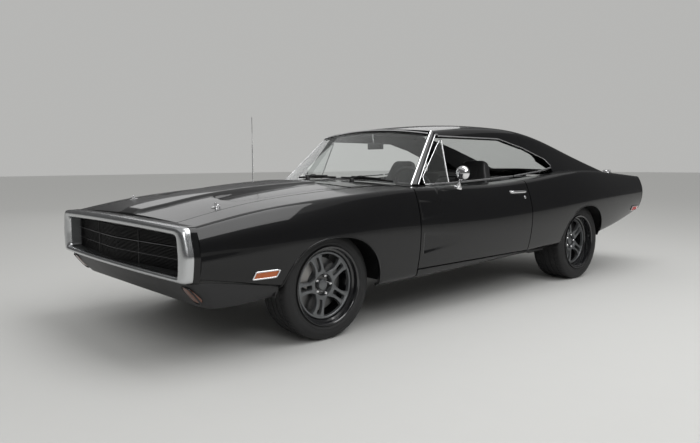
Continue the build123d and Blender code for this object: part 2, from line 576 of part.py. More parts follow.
SEAT = [(-240, 400), (-250, 520), (-200, 545), (190, 505), (330, 1000), (340, 1085), (400, 1085), (415, 1000),
        (330, 500), (300, 400)]
seat = side_prism(SEAT, (182, 640))
seat = fillet(seat.edges().filter_by(Axis.X), 22)
seat += block((230, 590), (-180, 250), (315, 402)) - block((300, 520), (-200, 300), (300, 390))
nodes["front_seats"] = Compound(children=[s for half in both(Pos(8, 0, 0) * seat) for s in half.solids()])
BENCH = [(470, 315), (455, 540), (500, 560), (800, 520), (960, 905), (1040, 905), (1040, 565), (848, 565), (848, 315)]
bench = side_prism(BENCH, (-540, 540)) - block((-175 - CLEAR, 175 + CLEAR), (400, 860), (300, 533))
nodes["rear_seat"] = bench
bulkhead = block((-545, 545), (1040 + CLEAR, 1052), (560, 930)) + block((-545, 545), (1040 + CLEAR, 1320), (918, 930))
nodes["rear_bulkhead"] = bulkhead

# Wheels and tyres
for name, y, track, radius, width, dish, disc_face in (
        ("front", FRONT_AXLE_Y, FRONT_TRACK, FRONT_TYRE_R, FRONT_TYRE_W, FRONT_DISH, -10),
        ("rear", REAR_AXLE_Y, REAR_TRACK, REAR_TYRE_R, REAR_TYRE_W, REAR_DISH, -40)):
    place = Pos(track / 2, y, radius)
    left_wheel, left_tyre = place * wheel(radius, width, dish, disc_face), place * tyre(radius, width)
    nodes[f"wheel_{name}_left"], nodes[f"wheel_{name}_right"] = both(left_wheel)
    nodes[f"tyre_{name}_left"], nodes[f"tyre_{name}_right"] = both(left_tyre)

os.makedirs("parts", exist_ok=True)
for name, shape in nodes.items():
    export_step(shape, f"parts/{name}.step")
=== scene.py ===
"""Looks of a two-door fastback muscle car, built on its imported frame.

Body panels are grids computed from section tables like those of the solids, so paint
reflections run smooth; wheels are lathed and lofted, trim is swept along the openings.
Lengths in the tables are millimetres and become metres in the meshes.
"""

import logging
import math
from collections.abc import Callable
from dataclasses import dataclass
from enum import Enum

import bpy
import numpy as np
from mathutils import Matrix, Vector


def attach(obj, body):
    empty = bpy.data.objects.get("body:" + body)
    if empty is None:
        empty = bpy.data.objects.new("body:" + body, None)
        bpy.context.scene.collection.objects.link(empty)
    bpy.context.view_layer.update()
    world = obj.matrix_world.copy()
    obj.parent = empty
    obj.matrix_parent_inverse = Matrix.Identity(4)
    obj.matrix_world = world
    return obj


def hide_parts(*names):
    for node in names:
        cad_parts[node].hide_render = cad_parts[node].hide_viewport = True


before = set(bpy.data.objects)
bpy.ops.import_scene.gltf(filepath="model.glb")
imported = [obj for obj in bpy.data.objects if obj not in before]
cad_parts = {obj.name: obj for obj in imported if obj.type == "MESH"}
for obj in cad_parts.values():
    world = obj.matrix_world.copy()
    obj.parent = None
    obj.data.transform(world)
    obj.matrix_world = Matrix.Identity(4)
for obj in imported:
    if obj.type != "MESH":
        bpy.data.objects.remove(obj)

log = logging.getLogger("car")
Array = np.ndarray

MM = 0.001
PHOTO_WIDTH, SENSOR_WIDTH = 700, 36.0
FRONT_AXLE_Y, REAR_AXLE_Y = -1663.0, 1309.0
NOSE_Y, TAIL_Y, HALF_LENGTH = -2535.0, 2575.0, 2648.0
GAP, SKIN_DEPTH = 9.0, 16.0
HOOD_HALF, HOOD_REAR_Y = 664.0, -1290.0
DOOR_FRONT_Y, DOOR_REAR_Y, SILL_Z = -914.0, 434.0, 345.0
DECK_HALF, DECK_FRONT_Y = 535.0, 1484.0
BACKLIGHT_HALF, BACKLIGHT_FOOT_Y = 545.0, 1330.0
COAT_ROUGHNESS = 0.03
# wheel arches: middle y, foot z, half width, rise, power of the rounded outline
FRONT_ARCH = (-1656.0, 255.0, 392.0, 378.0, 2.3)
REAR_ARCH = (1324.0, 300.0, 378.0, 377.0, 2.2)

# y, rocker x, rocker z, crease x, crease z, shoulder x, shoulder z, centre-line z
BODY_SECTIONS = np.array([
    (NOSE_Y, 900, 452, 922, 600, 878, 746, 772),
    (-2150, 915, 385, 948, 622, 892, 812, 856),
    (FRONT_AXLE_Y, 912, 295, 957, 635, 895, 858, 912),
    (-1000, 905, 272, 948, 640, 884, 894, 940),
    (-200, 905, 292, 942, 645, 862, 892, 940),
    (600, 908, 325, 955, 672, 874, 930, 962),
    (REAR_AXLE_Y, 905, 350, 973, 715, 874, 985, 1004),
    (1950, 890, 420, 950, 742, 856, 962, 984),
    (TAIL_Y, 850, 540, 898, 748, 842, 916, 930),
], float)
ROOF_FOOT_Z = 870.0
# y, foot x, edge x, edge z, crown z
ROOF_SECTIONS = np.array([
    (-1050, 800, 640, 1234, 1260),
    (-400, 792, 622, 1304, 1344),
    (150, 788, 612, 1342, 1390),
    (650, 788, 612, 1332, 1376),
    (1060, 792, 622, 1264, 1292),
    (1520, 802, 650, 1136, 1154),
    (2110, 815, 735, 956, 967),
], float)


class Side(Enum):
    """Which side of the car a piece is on."""

    LEFT = 1
    RIGHT = -1

    @property
    def word(self) -> str:
        """Side as written in node names."""
        return self.name.lower()


def vec(*values: float) -> Array:
    """The values as an array of floats."""
    return np.array(values, float)


def blend(a: Array, b: Array, t: Array) -> Array:
    """Straight blend from a at t = 0 to b at t = 1."""
    return a * (1 - t) + b * t


def points_of(x: Array, y: Array, z: Array) -> Array:
    """Points from three coordinates whose shapes broadcast together."""
    return np.stack(np.broadcast_arrays(x, y, z), -1)


def flip(points: Array, side: Side) -> Array:
    """Points or directions of the left side, on the given side of the car."""
    return np.asarray(points, float) * vec(side.value, 1, 1)


def smoothstep(low: float, high: float, value: Array) -> Array:
    """Cubic ease from 0 at low to 1 at high."""
    t = np.clip((value - low) / (high - low), 0, 1)
    return t * t * (3 - 2 * t)


def signed_power(value: Array, exponent: float) -> Array:
    """Power of the size of a value, with the value's sign."""
    return np.sign(value) * np.abs(value) ** exponent


def read_table(knots: tuple, at: Array) -> Array:
    """Straight-line reading of a table of (place, value) rows."""
    places, values = np.array(knots, float).T
    return np.interp(at, places, values)


def full_turn(count: int) -> Array:
    """Angles of a full turn, evenly spaced."""
    return np.linspace(0, 2 * math.pi, count, endpoint=False)


def bell(width: float, reach: int) -> Array:
    """Weights of a Gaussian mean, its standard deviation and its reach in points."""
    weights = np.exp(-0.5 * (np.arange(-reach, reach + 1) / width) ** 2)
    return weights / weights.sum()


def rounded_loop(loop: Array, width: float, reach: int) -> Array:
    """Closed line with its corners rounded by a running Gaussian mean."""
    return sum(w * np.roll(loop, k - reach, 0) for k, w in enumerate(bell(width, reach)))


def polygon(corners: Array, steps: int) -> Array:
    """Closed polygon as points, with as many steps along each of its sides."""
    corners = np.asarray(corners, float)
    t = np.linspace(0, 1, steps, endpoint=False)[:, None]
    return blend(corners[:, None], np.roll(corners, -1, 0)[:, None], t).reshape(-1, corners.shape[1])


def soften(lines: Array, width: float) -> Array:
    """Rounds the corners of polylines by a running Gaussian mean along them.

    Args:
        lines: points, shape (rows, count, 2), mirrored past their last point.
        width: standard deviation in points.

    Returns:
        The rounded points, same shape.
    """
    reach = int(4 * width)
    tail = lines[:, -2:-reach - 2:-1] * vec(-1, 1)
    head = 2 * lines[:, :1] - lines[:, reach:0:-1]
    padded = np.concatenate([head, lines, tail], axis=1)
    return sum(w * padded[:, k:k + lines.shape[1]] for k, w in enumerate(bell(width, reach)))


class Spline:
    """Natural cubic spline through the rows of a table.

    Args:
        knots: rising positions.
        values: one row of values per knot.
    """

    def __init__(self, knots: Array, values: Array) -> None:
        self.knots, self.values = knots, values
        step, slope = np.diff(knots), np.diff(values, axis=0) / np.diff(knots)[:, None]
        system, right = np.eye(len(knots)), np.zeros_like(values)
        for i in range(1, len(knots) - 1):
            system[i, i - 1:i + 2] = step[i - 1], 2 * (step[i - 1] + step[i]), step[i]
            right[i] = 6 * (slope[i] - slope[i - 1])
        self.bend = np.linalg.solve(system, right)

    def __call__(self, at: Array) -> Array:
        """Values at the given positions, one row each."""
        i = np.clip(np.searchsorted(self.knots, at) - 1, 0, len(self.knots) - 2)
        step = (self.knots[i + 1] - self.knots[i])[:, None]
        a = (self.knots[i + 1] - at)[:, None] / step
        b = 1 - a
        cubic = ((a**3 - a) * self.bend[i] + (b**3 - b) * self.bend[i + 1]) * step**2 / 6
        return a * self.values[i] + b * self.values[i + 1] + cubic


def through(points: list, count: int) -> Array:
    """Smooth path of count points through a few given ones, spaced by their distance."""
    points = np.asarray(points, float)
    reach = np.concatenate([[0], np.cumsum(np.linalg.norm(np.diff(points, axis=0), axis=1))])
    return Spline(reach, points)(np.linspace(0, reach[-1], count))


class BodyForm:
    """Half sections of the lower body: rocker, lower side, upper side and top."""

    table = BODY_SECTIONS
    # points and outward bow of each side line, and points of the top
    counts, bows, top_count = (12, 56, 44), (0.0, 12.0, 12.0), 140
    rounding = 2.2
    rocker_width, rocker_height = 60.0, 30.0

    def __init__(self) -> None:
        self.spline = Spline(self.table[:, 0], self.table[:, 1:])
        self.shoulder_index = sum(self.counts)

    def joined(self, corners: list, crown: Array) -> Array:
        """Section lines through corners of (x, z), then over a parabola to the centre line, rounded."""
        parts = []
        for (ax, az), (bx, bz), count, bow in zip(corners, corners[1:], self.counts, self.bows):
            t = np.linspace(0, 1, count, endpoint=False)
            x = blend(ax[:, None], bx[:, None], t) + bow * 4 * t * (1 - t)
            parts.append(np.stack([x, blend(az[:, None], bz[:, None], t)], -1))
        x, z = corners[-1]
        across = np.linspace(1, 0, self.top_count)
        parts.append(np.stack([x[:, None] * across, crown[:, None] - (crown - z)[:, None] * across**2], -1))
        return soften(np.concatenate(parts, axis=1), self.rounding)

    def lines(self, y: Array) -> Array:
        """Half sections at stations y, from the foot to the centre line, as (x, z)."""
        rx, rz, cx, cz, sx, sz, crown = self.spline(y).T
        foot, rocker = (rx - self.rocker_width, rz), (rx, rz + self.rocker_height)
        return self.joined([foot, rocker, (cx, cz), (sx, sz)], crown)

    def index_at_z(self, lines: Array, z: Array) -> Array:
        """Place along each side line at a height."""
        stop = self.shoulder_index - 2
        steps = np.arange(stop)
        return np.array([np.interp(h, line[:stop, 1], steps) for h, line in zip(z, lines)])

    def index_at_x(self, lines: Array, x: Array) -> Array:
        """Place along each top line at a distance from the centre line."""
        start = self.shoulder_index + 4
        steps = np.arange(start, lines.shape[1])
        return np.array([np.interp(-d, -line[start:, 0], steps) for d, line in zip(x, lines)])

    def patch(self, y: Array, first: Array, last: Array, rows: int) -> Array:
        """Grid between two places along each section.

        Args:
            y: stations.
            first, last: places along the section at each station.
            rows: points along each section.

        Returns:
            Points in millimetres, shape (stations, rows, 3), left side of the car.
        """
        lines = self.lines(y)
        place = first[:, None] + (last - first)[:, None] * np.linspace(0, 1, rows)
        low = np.clip(place.astype(int), 0, lines.shape[1] - 2)
        column = np.arange(len(y))[:, None]
        flat = blend(lines[column, low], lines[column, low + 1], (place - low)[..., None])
        return points_of(flat[..., 0], y[:, None], flat[..., 1])

    def on_side(self, y: Array, z: Array) -> Array:
        """Points of the left side at stations y and heights z of any one shape."""
        y, z = np.broadcast_arrays(np.asarray(y, float), z)
        place = self.index_at_z(self.lines(y.ravel()), z.ravel())
        return self.patch(y.ravel(), place, place, 2)[:, 0].reshape(*y.shape, 3)

    def top_z(self, x: Array, y: Array) -> Array:
        """Height of the top surface at points of a plan grid (one y per row)."""
        shoulder_x, shoulder_z, crown = self.spline(y).T[4:, :, None]
        return crown - (crown - shoulder_z) * (x / shoulder_x) ** 2

    def line_z(self, x: Array, y: Array) -> Array:
        """Height of the top surface along a line of plan points."""
        return self.top_z(np.broadcast_to(x, y.shape)[:, None], y)[:, 0]


class RoofForm(BodyForm):
    """Half sections of roof, rails and sail panels: side, then top."""

    table = ROOF_SECTIONS
    counts, bows, top_count = (60,), (0.0,), 110
    rounding = 4.0

    def lines(self, y: Array) -> Array:
        """Half sections at stations y, from the foot to the centre line, as (x, z)."""
        foot_x, edge_x, edge_z, crown = self.spline(y).T
        return self.joined([(foot_x, np.full(len(y), ROOF_FOOT_Z)), (edge_x, edge_z)], crown)


BODY, ROOF = BodyForm(), RoofForm()


def normals_of(points: Array) -> Array:
    """Unit normals of a grid from its two families of lines."""
    normal = np.cross(np.gradient(points, axis=1), np.gradient(points, axis=0))
    return normal / np.maximum(np.linalg.norm(normal, axis=-1, keepdims=True), 1e-9)


def thickened(outer: Array, depth: float) -> Array:
    """The grid moved inwards along its normals, towards the middle of the car."""
    normal, middle = normals_of(outer), vec(0, 0, 620)
    away = np.sign(((outer - middle) * vec(1, 0, 1) * normal).sum(-1).mean())
    return outer - away * depth * normal


def capped(points: Array) -> Array:
    """Rings of a tube with the first and the last drawn together to a point beyond each end."""
    ends = [points[place].mean(1, keepdims=True).repeat(points.shape[1], 1) for place in (slice(1), slice(-1, None))]
    return np.concatenate([ends[0], points, ends[1]])


def grid_faces(rows: int, columns: int, wrap_rows: bool = False, wrap_columns: bool = False) -> Array:
    """Quads of a grid of points numbered row by row."""
    r = np.arange(rows if wrap_rows else rows - 1)
    c = np.arange(columns if wrap_columns else columns - 1)
    r, c = [a.ravel() for a in np.meshgrid(r, c, indexing="ij")]
    r2, c2 = (r + 1) % rows, (c + 1) % columns
    return np.stack([r * columns + c, r * columns + c2, r2 * columns + c2, r2 * columns + c], -1)


def signed_volume(points: Array, faces: Array) -> float:
    """Volume of a closed mesh, negative if its faces point inwards."""
    a, b, c, d = [points[faces[:, k]] for k in range(4)]
    return float((np.cross(b - a, c - a) * a).sum() + (np.cross(c - a, d - a) * a).sum())


def box_profile(width: float, height: float, radius: float, steps: int = 4) -> Array:
    """Closed outline of a rectangle with round corners, centred on the origin."""
    quarter = np.linspace(0, math.pi / 2, steps)
    parts = []
    for k, (sx, sy) in enumerate(((1, 1), (-1, 1), (-1, -1), (1, -1))):
        middle = vec(sx * (width / 2 - radius), sy * (height / 2 - radius))
        turn = quarter + k * math.pi / 2
        parts.append(middle + radius * np.stack([np.cos(turn), np.sin(turn)], -1))
    return np.concatenate(parts)


def fill(node: bpy.types.Node, values: dict) -> None:
    """Sets inputs of a node by their names."""
    for name, value in values.items():
        node.inputs[name].default_value = value


def maths(tree: bpy.types.NodeTree, operation: str, *given: float | bpy.types.NodeSocket) -> bpy.types.NodeSocket:
    """Adds a maths node fed with numbers or other nodes' outputs, and returns its output."""
    node = tree.nodes.new("ShaderNodeMath")
    node.operation = operation
    for socket, value in zip(node.inputs, given):
        if isinstance(value, bpy.types.NodeSocket):
            tree.links.new(value, socket)
        else:
            socket.default_value = value
    return node.outputs[0]


def surface_group() -> bpy.types.NodeTree:
    """Shared node group: colour, roughness and normal varied by two noises in object space."""
    known = bpy.data.node_groups.get("surface_variation")
    if known:
        return known
    tree = bpy.data.node_groups.new("surface_variation", "ShaderNodeTree")
    sockets = [("Colour", "INPUT", "Color")]
    sockets += [(word, "INPUT", "Float") for word in ("Roughness", "Mottle", "Tint", "Grain", "Grain Scale")]
    sockets += [("Colour", "OUTPUT", "Color"), ("Roughness", "OUTPUT", "Float"), ("Normal", "OUTPUT", "Vector")]
    for word, way, kind in sockets:
        tree.interface.new_socket(word, in_out=way, socket_type=f"NodeSocket{kind}")
    nodes, link = tree.nodes, tree.links.new
    given, out = nodes.new("NodeGroupInput").outputs, nodes.new("NodeGroupOutput").inputs
    place = nodes.new("ShaderNodeTexCoord")
    broad, fine = nodes.new("ShaderNodeTexNoise"), nodes.new("ShaderNodeTexNoise")
    fill(broad, {"Scale": 7.0, "Detail": 6.0})
    for noise in (broad, fine):
        link(place.outputs["Object"], noise.inputs["Vector"])
    link(given["Grain Scale"], fine.inputs["Scale"])
    centred = maths(tree, "SUBTRACT", broad.outputs["Fac"], 0.5)
    link(maths(tree, "MULTIPLY_ADD", centred, given["Mottle"], given["Roughness"]), out["Roughness"])
    scaled = nodes.new("ShaderNodeVectorMath")
    scaled.operation = "SCALE"
    link(given["Colour"], scaled.inputs[0])
    link(maths(tree, "MULTIPLY_ADD", centred, given["Tint"], 1.0), scaled.inputs["Scale"])
    link(scaled.outputs[0], out["Colour"])
    bump = nodes.new("ShaderNodeBump")
    fill(bump, {"Distance": 0.0005})
    link(given["Grain"], bump.inputs["Strength"])
    link(fine.outputs["Fac"], bump.inputs["Height"])
    link(bump.outputs["Normal"], out["Normal"])
    return tree


@dataclass(frozen=True)
class Finish:
    """A surface finish as numbers for one shader, with grain from object-space noise.

    grain is the bump height of fine noise, mottle how far roughness strays, tint how far the colour does.
    """

    name: str
    colour: tuple
    slot: str = ""
    metallic: float = 0.0
    roughness: float = 0.5
    coat: float = 0.0
    transmission: float = 0.0
    grain: float = 0.0
    grain_scale: float = 400.0
    mottle: float = 0.08
    tint: float = 0.1
    glow: float = 0.0
    specular: float = 0.5

    def material(self) -> bpy.types.Material:
        """The finish as a material, made once."""
        known = bpy.data.materials.get(self.name)
        if known:
            return known
        material = bpy.data.materials.new(self.name)
        material.use_nodes = True
        nodes, links = material.node_tree.nodes, material.node_tree.links
        shader, surface = nodes["Principled BSDF"], nodes.new("ShaderNodeGroup")
        surface.node_tree = surface_group()
        colour = (*self.colour, 1)
        fill(shader, {"Metallic": self.metallic, "Specular IOR Level": self.specular, "Coat Weight": self.coat,
                      "Coat Roughness": COAT_ROUGHNESS, "Transmission Weight": self.transmission})
        if self.glow:
            fill(shader, {"Emission Color": colour, "Emission Strength": self.glow})
        fill(surface, {"Colour": colour, "Roughness": self.roughness, "Mottle": self.mottle, "Tint": self.tint,
                       "Grain": self.grain, "Grain Scale": self.grain_scale})
        links.new(surface.outputs["Colour"], shader.inputs["Base Color"])
        links.new(surface.outputs["Roughness"], shader.inputs["Roughness"])
        if self.grain:
            links.new(surface.outputs["Normal"], shader.inputs["Normal"])
        return material


PAINT = Finish("gloss_black_paint", (0.004, 0.004, 0.0045), "body_paint", roughness=0.3, coat=0.7, mottle=0.05,
               specular=0.1)
BUMPER_BRIGHT = Finish("brushed_bright_loop", (0.60, 0.61, 0.62), "bumper_satin", metallic=1.0, roughness=0.23,
                       grain=0.03, grain_scale=1500)
# painted shade: the loop's inner wall is the loop's own satin bright metal, darkened to stand for the shade in the
# recess
LOOP_WALL_SHADE = Finish("loop_wall_painted_shade", (0.085, 0.088, 0.09), "bumper_satin", metallic=0.8, roughness=0.4, grain=0.05)
GRILLE_BLACK = Finish("grille_black", (0.006, 0.006, 0.0065), "black_plastic", roughness=0.4, grain=0.1)
# painted shade: chrome of the grille's two lines darkened to stand for the shade of the recess
GRILLE_LINE_SHADE = Finish("bright_line_painted_shade", (0.22, 0.22, 0.23), "bright_chrome", metallic=1.0, roughness=0.3)
CHROME = Finish("polished_chrome", (0.86, 0.86, 0.87), "bright_chrome", metallic=1.0, roughness=0.07, mottle=0.04,
                tint=0.04)
GLASS = Finish("tinted_pane", (0.955, 0.985, 0.975), "window_glass", roughness=0.0, transmission=1.0, mottle=0.0,
               tint=0.0)
RUBBER = Finish("tyre_rubber", (0.010, 0.010, 0.0105), "tyre", roughness=0.66, grain=0.35, grain_scale=900, mottle=0.2)
SPOKE_GREY = Finish("spoke_grey", (0.16, 0.165, 0.17), "wheel_alloy", metallic=0.7, roughness=0.38, grain=0.08,
                    grain_scale=1800)
BARREL_BLACK = Finish("barrel_black", (0.008, 0.008, 0.009), "wheel_alloy", roughness=0.18, coat=0.8)
SATIN_BLACK = Finish("satin_black", (0.012, 0.012, 0.013), "black_plastic", roughness=0.45, grain=0.1)
GRAINED = Finish("grained_trim", (0.018, 0.018, 0.019), "cabin_trim", roughness=0.6, grain=0.6, grain_scale=700)
VINYL = Finish("black_vinyl", (0.017, 0.017, 0.018), "seat_vinyl", roughness=0.5, grain=0.5, grain_scale=900)
CASTING = Finish("dark_casting", (0.06, 0.06, 0.062), "cast_iron", metallic=0.6, roughness=0.6, grain=0.8,
                 grain_scale=350, mottle=0.3, tint=0.5)
STEEL = Finish("dull_steel", (0.32, 0.31, 0.30), "bare_steel", metallic=0.9, roughness=0.42, grain=0.3, mottle=0.3,
               tint=0.4)
AMBER = Finish("amber_plastic", (0.42, 0.085, 0.006), "amber_lens", roughness=0.12, coat=0.6, glow=0.03)
# painted shade: the amber lens darkened for the turn lamps, which sit in the shade under the nose
AMBER_LENS_SHADE = Finish("amber_lens_painted_shade", (0.13, 0.035, 0.012), "amber_lens", roughness=0.12, coat=0.6)
RED = Finish("red_plastic", (0.42, 0.012, 0.012), "red_lens", roughness=0.12, coat=0.6, glow=0.03)
# painted shade: bare steel darkened to half the dull steel's tone, for the disc in the shade inside the wheel
DISC_STEEL_SHADE = Finish("brake_disc_painted_shade", (0.16, 0.16, 0.16), "bare_steel", metallic=1.0, roughness=0.35, grain=0.2)
FLOOR = Finish("pale_floor", (0.5, 0.5, 0.49), roughness=0.75, mottle=0.0, tint=0.02)


class Piece:
    """One visible mesh with its finish, riding on a body of the frame.

    A piece that is given a side has its word in the name and its shape, drawn for the left, on that side.
    """

    @staticmethod
    def make(name: str, points: Array, faces: Array, finish: Finish, body: str = "body", nodes: tuple = (),
             sharp: float = 35.0, keep_order: bool = False) -> bpy.types.Object:
        """Makes a mesh object from quads, with points that coincide merged and flat corners dropped.

        Args:
            name: piece name.
            points: millimetres, shape (n, 3).
            faces: corner numbers, shape (m, 4).
            finish: its material.
            body: frame body it rides on.
            nodes: solids it stands for.
            sharp: edges bent more than this many degrees stay sharp.
            keep_order: keep the faces' direction as given.

        Returns:
            The object.
        """
        points = np.asarray(points, float).reshape(-1, 3)
        if not keep_order and signed_volume(points - points.mean(0), faces) < 0:
            faces = faces[:, ::-1]
        _, kept, place = np.unique(np.round(points, 3), axis=0, return_index=True, return_inverse=True)
        points, faces = points[kept], place.reshape(-1)[faces]
        corner = faces != np.roll(faces, -1, axis=1)
        whole = corner.sum(1) > 2
        faces, corner = faces[whole], corner[whole]
        mesh = bpy.data.meshes.new(name)
        mesh.vertices.add(len(points))
        mesh.vertices.foreach_set("co", (points * MM).astype(np.float32).ravel())
        loops = faces[corner].astype(np.int32)
        mesh.loops.add(len(loops))
        mesh.loops.foreach_set("vertex_index", loops)
        mesh.polygons.add(len(faces))
        starts = np.concatenate([[0], np.cumsum(corner.sum(1))[:-1]]).astype(np.int32)
        mesh.polygons.foreach_set("loop_start", starts)
        mesh.update(calc_edges=True)
        mesh.validate()
        mesh.shade_smooth()
        mesh.set_sharp_from_angle(angle=math.radians(sharp))
        obj = bpy.data.objects.new(name, mesh)
        bpy.context.scene.collection.objects.link(obj)
        mesh.materials.append(finish.material())
        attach(obj, body)
        if nodes:
            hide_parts(*nodes)
        log.info("%s: %d quads", name, len(faces))
        return obj

    @staticmethod
    def grid(name: str, points: Array, finish: Finish, wraps: tuple = (True, True), **more) -> bpy.types.Object:
        """Mesh of a grid of points, its rows and columns closed where wraps says so; more goes to make."""
        return Piece.make(name, points, grid_faces(*points.shape[:2], *wraps), finish, **more)

    @staticmethod
    def shell(name: str, outer: Array, inner: Array, finish: Finish, side: Side | None = None, edge: float = 2.0,
              **more) -> bpy.types.Object:
        """Panel between an outer and an inner grid, closed round the rim, its edges rounded; more goes to make."""
        if side:
            name, outer, inner = f"{name}_{side.word}", flip(outer, side), flip(inner, side)
        rows, columns = outer.shape[:2]
        count = rows * columns
        front, back = grid_faces(rows, columns), grid_faces(rows, columns)[:, ::-1] + count
        rim = np.concatenate([np.arange(columns), np.arange(1, rows) * columns + columns - 1,
                              (rows - 1) * columns + np.arange(columns - 2, -1, -1),
                              np.arange(rows - 2, 0, -1) * columns])
        after = np.roll(rim, -1)
        wall = np.stack([rim, rim + count, after + count, after], -1)
        points = np.concatenate([outer.reshape(-1, 3), inner.reshape(-1, 3)])
        obj = Piece.make(name, points, np.concatenate([front, back, wall]), finish, **more)
        if edge:
            bevel = obj.modifiers.new("edge", "BEVEL")
            bevel.width, bevel.segments = edge * MM, 2
            bevel.limit_method, bevel.angle_limit = "ANGLE", math.radians(50)
        return obj

    @staticmethod
    def lathe(name: str, profile: list, centre: Array, finish: Finish, turns: int = 96, axis: Array = (1, 0, 0),
              side: Side | None = None, **more) -> None:
        """Closed profile of (along axis, radius) points turned about an axis through centre; more goes to make."""
        if side:
            name, centre, axis = f"{name}_{side.word}", flip(centre, side), flip(axis, side)
        profile = np.asarray(profile, float)
        axis = np.asarray(axis, float) / np.linalg.norm(axis)
        across = np.cross(axis, (0, 0, 1.0)) if abs(axis[2]) < 0.9 else np.cross(axis, (0, 1.0, 0))
        across /= np.linalg.norm(across)
        angle = full_turn(turns)[:, None]
        ring = np.cos(angle) * np.cross(across, axis) + np.sin(angle) * across
        points = np.asarray(centre) + profile[None, :, :1] * axis + profile[None, :, 1:] * ring[:, None]
        Piece.grid(name, points, finish, **more)

    @staticmethod
    def sweep(name: str, path: Array, box: tuple, finish: Finish, up: Array = (0, 0, 1), closed: bool = False,
              scale: Array | None = None, side: Side | None = None, **more) -> None:
        """Rounded box carried along a path: its width lies sideways, its height along up; more goes to make."""
        if side:
            name, path, up = f"{name}_{side.word}", flip(path, side), flip(up, side)
        path, profile = np.asarray(path, float), box_profile(*box)
        ahead = np.roll(path, -1, 0) - np.roll(path, 1, 0) if closed else np.gradient(path, axis=0)
        ahead /= np.linalg.norm(ahead, axis=1, keepdims=True)
        across = np.cross(ahead, np.broadcast_to(np.asarray(up, float), path.shape))
        across /= np.linalg.norm(across, axis=1, keepdims=True)
        lift = np.cross(across, ahead)
        section = profile[None, :, :1] * across[:, None] + profile[None, :, 1:] * lift[:, None]
        points = path[:, None] + (section if scale is None else scale[:, None, None] * section)
        Piece.grid(name, points if closed else capped(points), finish, (closed, True), **more)


def arched_panel(name: str, start: float, stop: float, arch: tuple, top: tuple, rows: int, side: Side) -> None:
    """Outer panel over a wheel, with its rolled lip.

    The arch's edge is a superellipse over its feet, and stations crowd towards both feet.

    Args:
        name: panel, as in its node's name.
        start, stop: first and last station.
        arch: the wheel arch.
        top: upper edge, as rows of y and distance from the middle.
        rows: points along each section.
        side: side of the car.
    """
    centre, foot, half, rise, power = arch
    step, reach = 14.0, half - 1
    before = np.linspace(start, centre - reach, max(4, int((centre - reach - start) / step)))
    over = centre - reach * np.cos(np.linspace(0, math.pi, 70))
    after = np.linspace(centre + reach, stop, max(4, int((stop - centre - reach) / step)))
    y = np.concatenate([before[:-1], over, after[1:]])
    out = np.minimum(np.abs(y - centre) / half, 1)
    edge = np.where(out < 0.9999, foot + rise * (1 - out**power) ** (1 / power), 0.0)
    lines = BODY.lines(y)
    outer = BODY.patch(y, BODY.index_at_z(lines, edge), BODY.index_at_x(lines, read_table(top, y)), rows)
    Piece.shell(f"{name}_skin", outer, thickened(outer, SKIN_DEPTH), PAINT, side, nodes=(f"{name}_{side.word}",))
    within = np.abs(y - centre) < half - 0.5
    path = BODY.on_side(y[within], edge[within])
    path = path[path[:, 2] > lines[within][:, 0, 1] + 6] - vec(4, 0, 0)
    Piece.sweep(f"{name}_lip", path, (9, 14, 3), PAINT, (1, 0, 0), side=side)


def top_panel(name: str, y: Array, half: Array, columns: int, rise: Callable, depth: float, **more) -> None:
    """Panel of the body's top, right across the car.

    Args:
        name: piece name.
        y: stations.
        half: half width, one for all or one per station.
        columns: points across.
        rise: gives the height added at plan points x, y.
        depth: thickness of the panel.
        more: goes to the shell.
    """
    x = np.linspace(-1, 1, columns) * np.broadcast_to(half, y.shape)[:, None]
    outer = points_of(x, y[:, None], BODY.top_z(x, y) + rise(x, y[:, None]))
    Piece.shell(name, outer, outer - vec(0, 0, depth), PAINT, **more)


@dataclass
class FrontEnd:
    """Hood, cowl and front fenders.

    Hood relief is a raised spine that widens rearwards, and on each side a scallop
    whose floor starts at a steep front wall and rises to fade into the hood.
    """

    spine_height: float = 15.0
    # y, the spine's half width
    spine: tuple = ((-2535, 105), (-2340, 175), (-1290, 290))
    scallop_depth: float = 27.0
    scallop_front_y: float = -2114.0
    scallop_length: float = 760.0
    # y, the scallop's outer edge
    scallop_edge: tuple = ((-2110, 552), (-1930, 600))
    cowl_rear_y: float = -700.0
    cowl_half: float = 794.0

    def relief(self, x: Array, y: Array) -> Array:
        """Height added to the plain hood at plan points."""
        out = np.abs(x)
        beside = out - read_table(self.spine, y)
        spine = self.spine_height * (1 - smoothstep(-26, 26, beside)) * smoothstep(-2560, -2470, y)
        behind = y - (self.scallop_front_y + 18 * ((out - 420) / 130) ** 2)
        depth = self.scallop_depth * np.clip(1 - behind / self.scallop_length, 0, 1) * smoothstep(0, 22, behind)
        across = smoothstep(14, 60, beside) * (1 - smoothstep(-45, 10, out - read_table(self.scallop_edge, y)))
        return spine - depth * across

    def build(self) -> None:
        """All of the front end's skins."""
        y = np.linspace(NOSE_Y + 2, HOOD_REAR_Y - GAP / 2, 112)
        top_panel("hood_skin", y, HOOD_HALF - GAP / 2, 120, self.relief, 20, body="hood", nodes=("hood",))
        y = np.linspace(HOOD_REAR_Y + GAP / 2, self.cowl_rear_y, 50)
        half = np.where(y < DOOR_FRONT_Y, HOOD_HALF + GAP / 2 - 1, self.cowl_half)
        top_panel("cowl_skin", y, half, 60, lambda x, y: 3, 2, edge=0)
        for side in Side:
            arched_panel("fender", NOSE_Y, DOOR_FRONT_Y - GAP / 2, FRONT_ARCH, ((0, HOOD_HALF + GAP / 2),), 68, side)


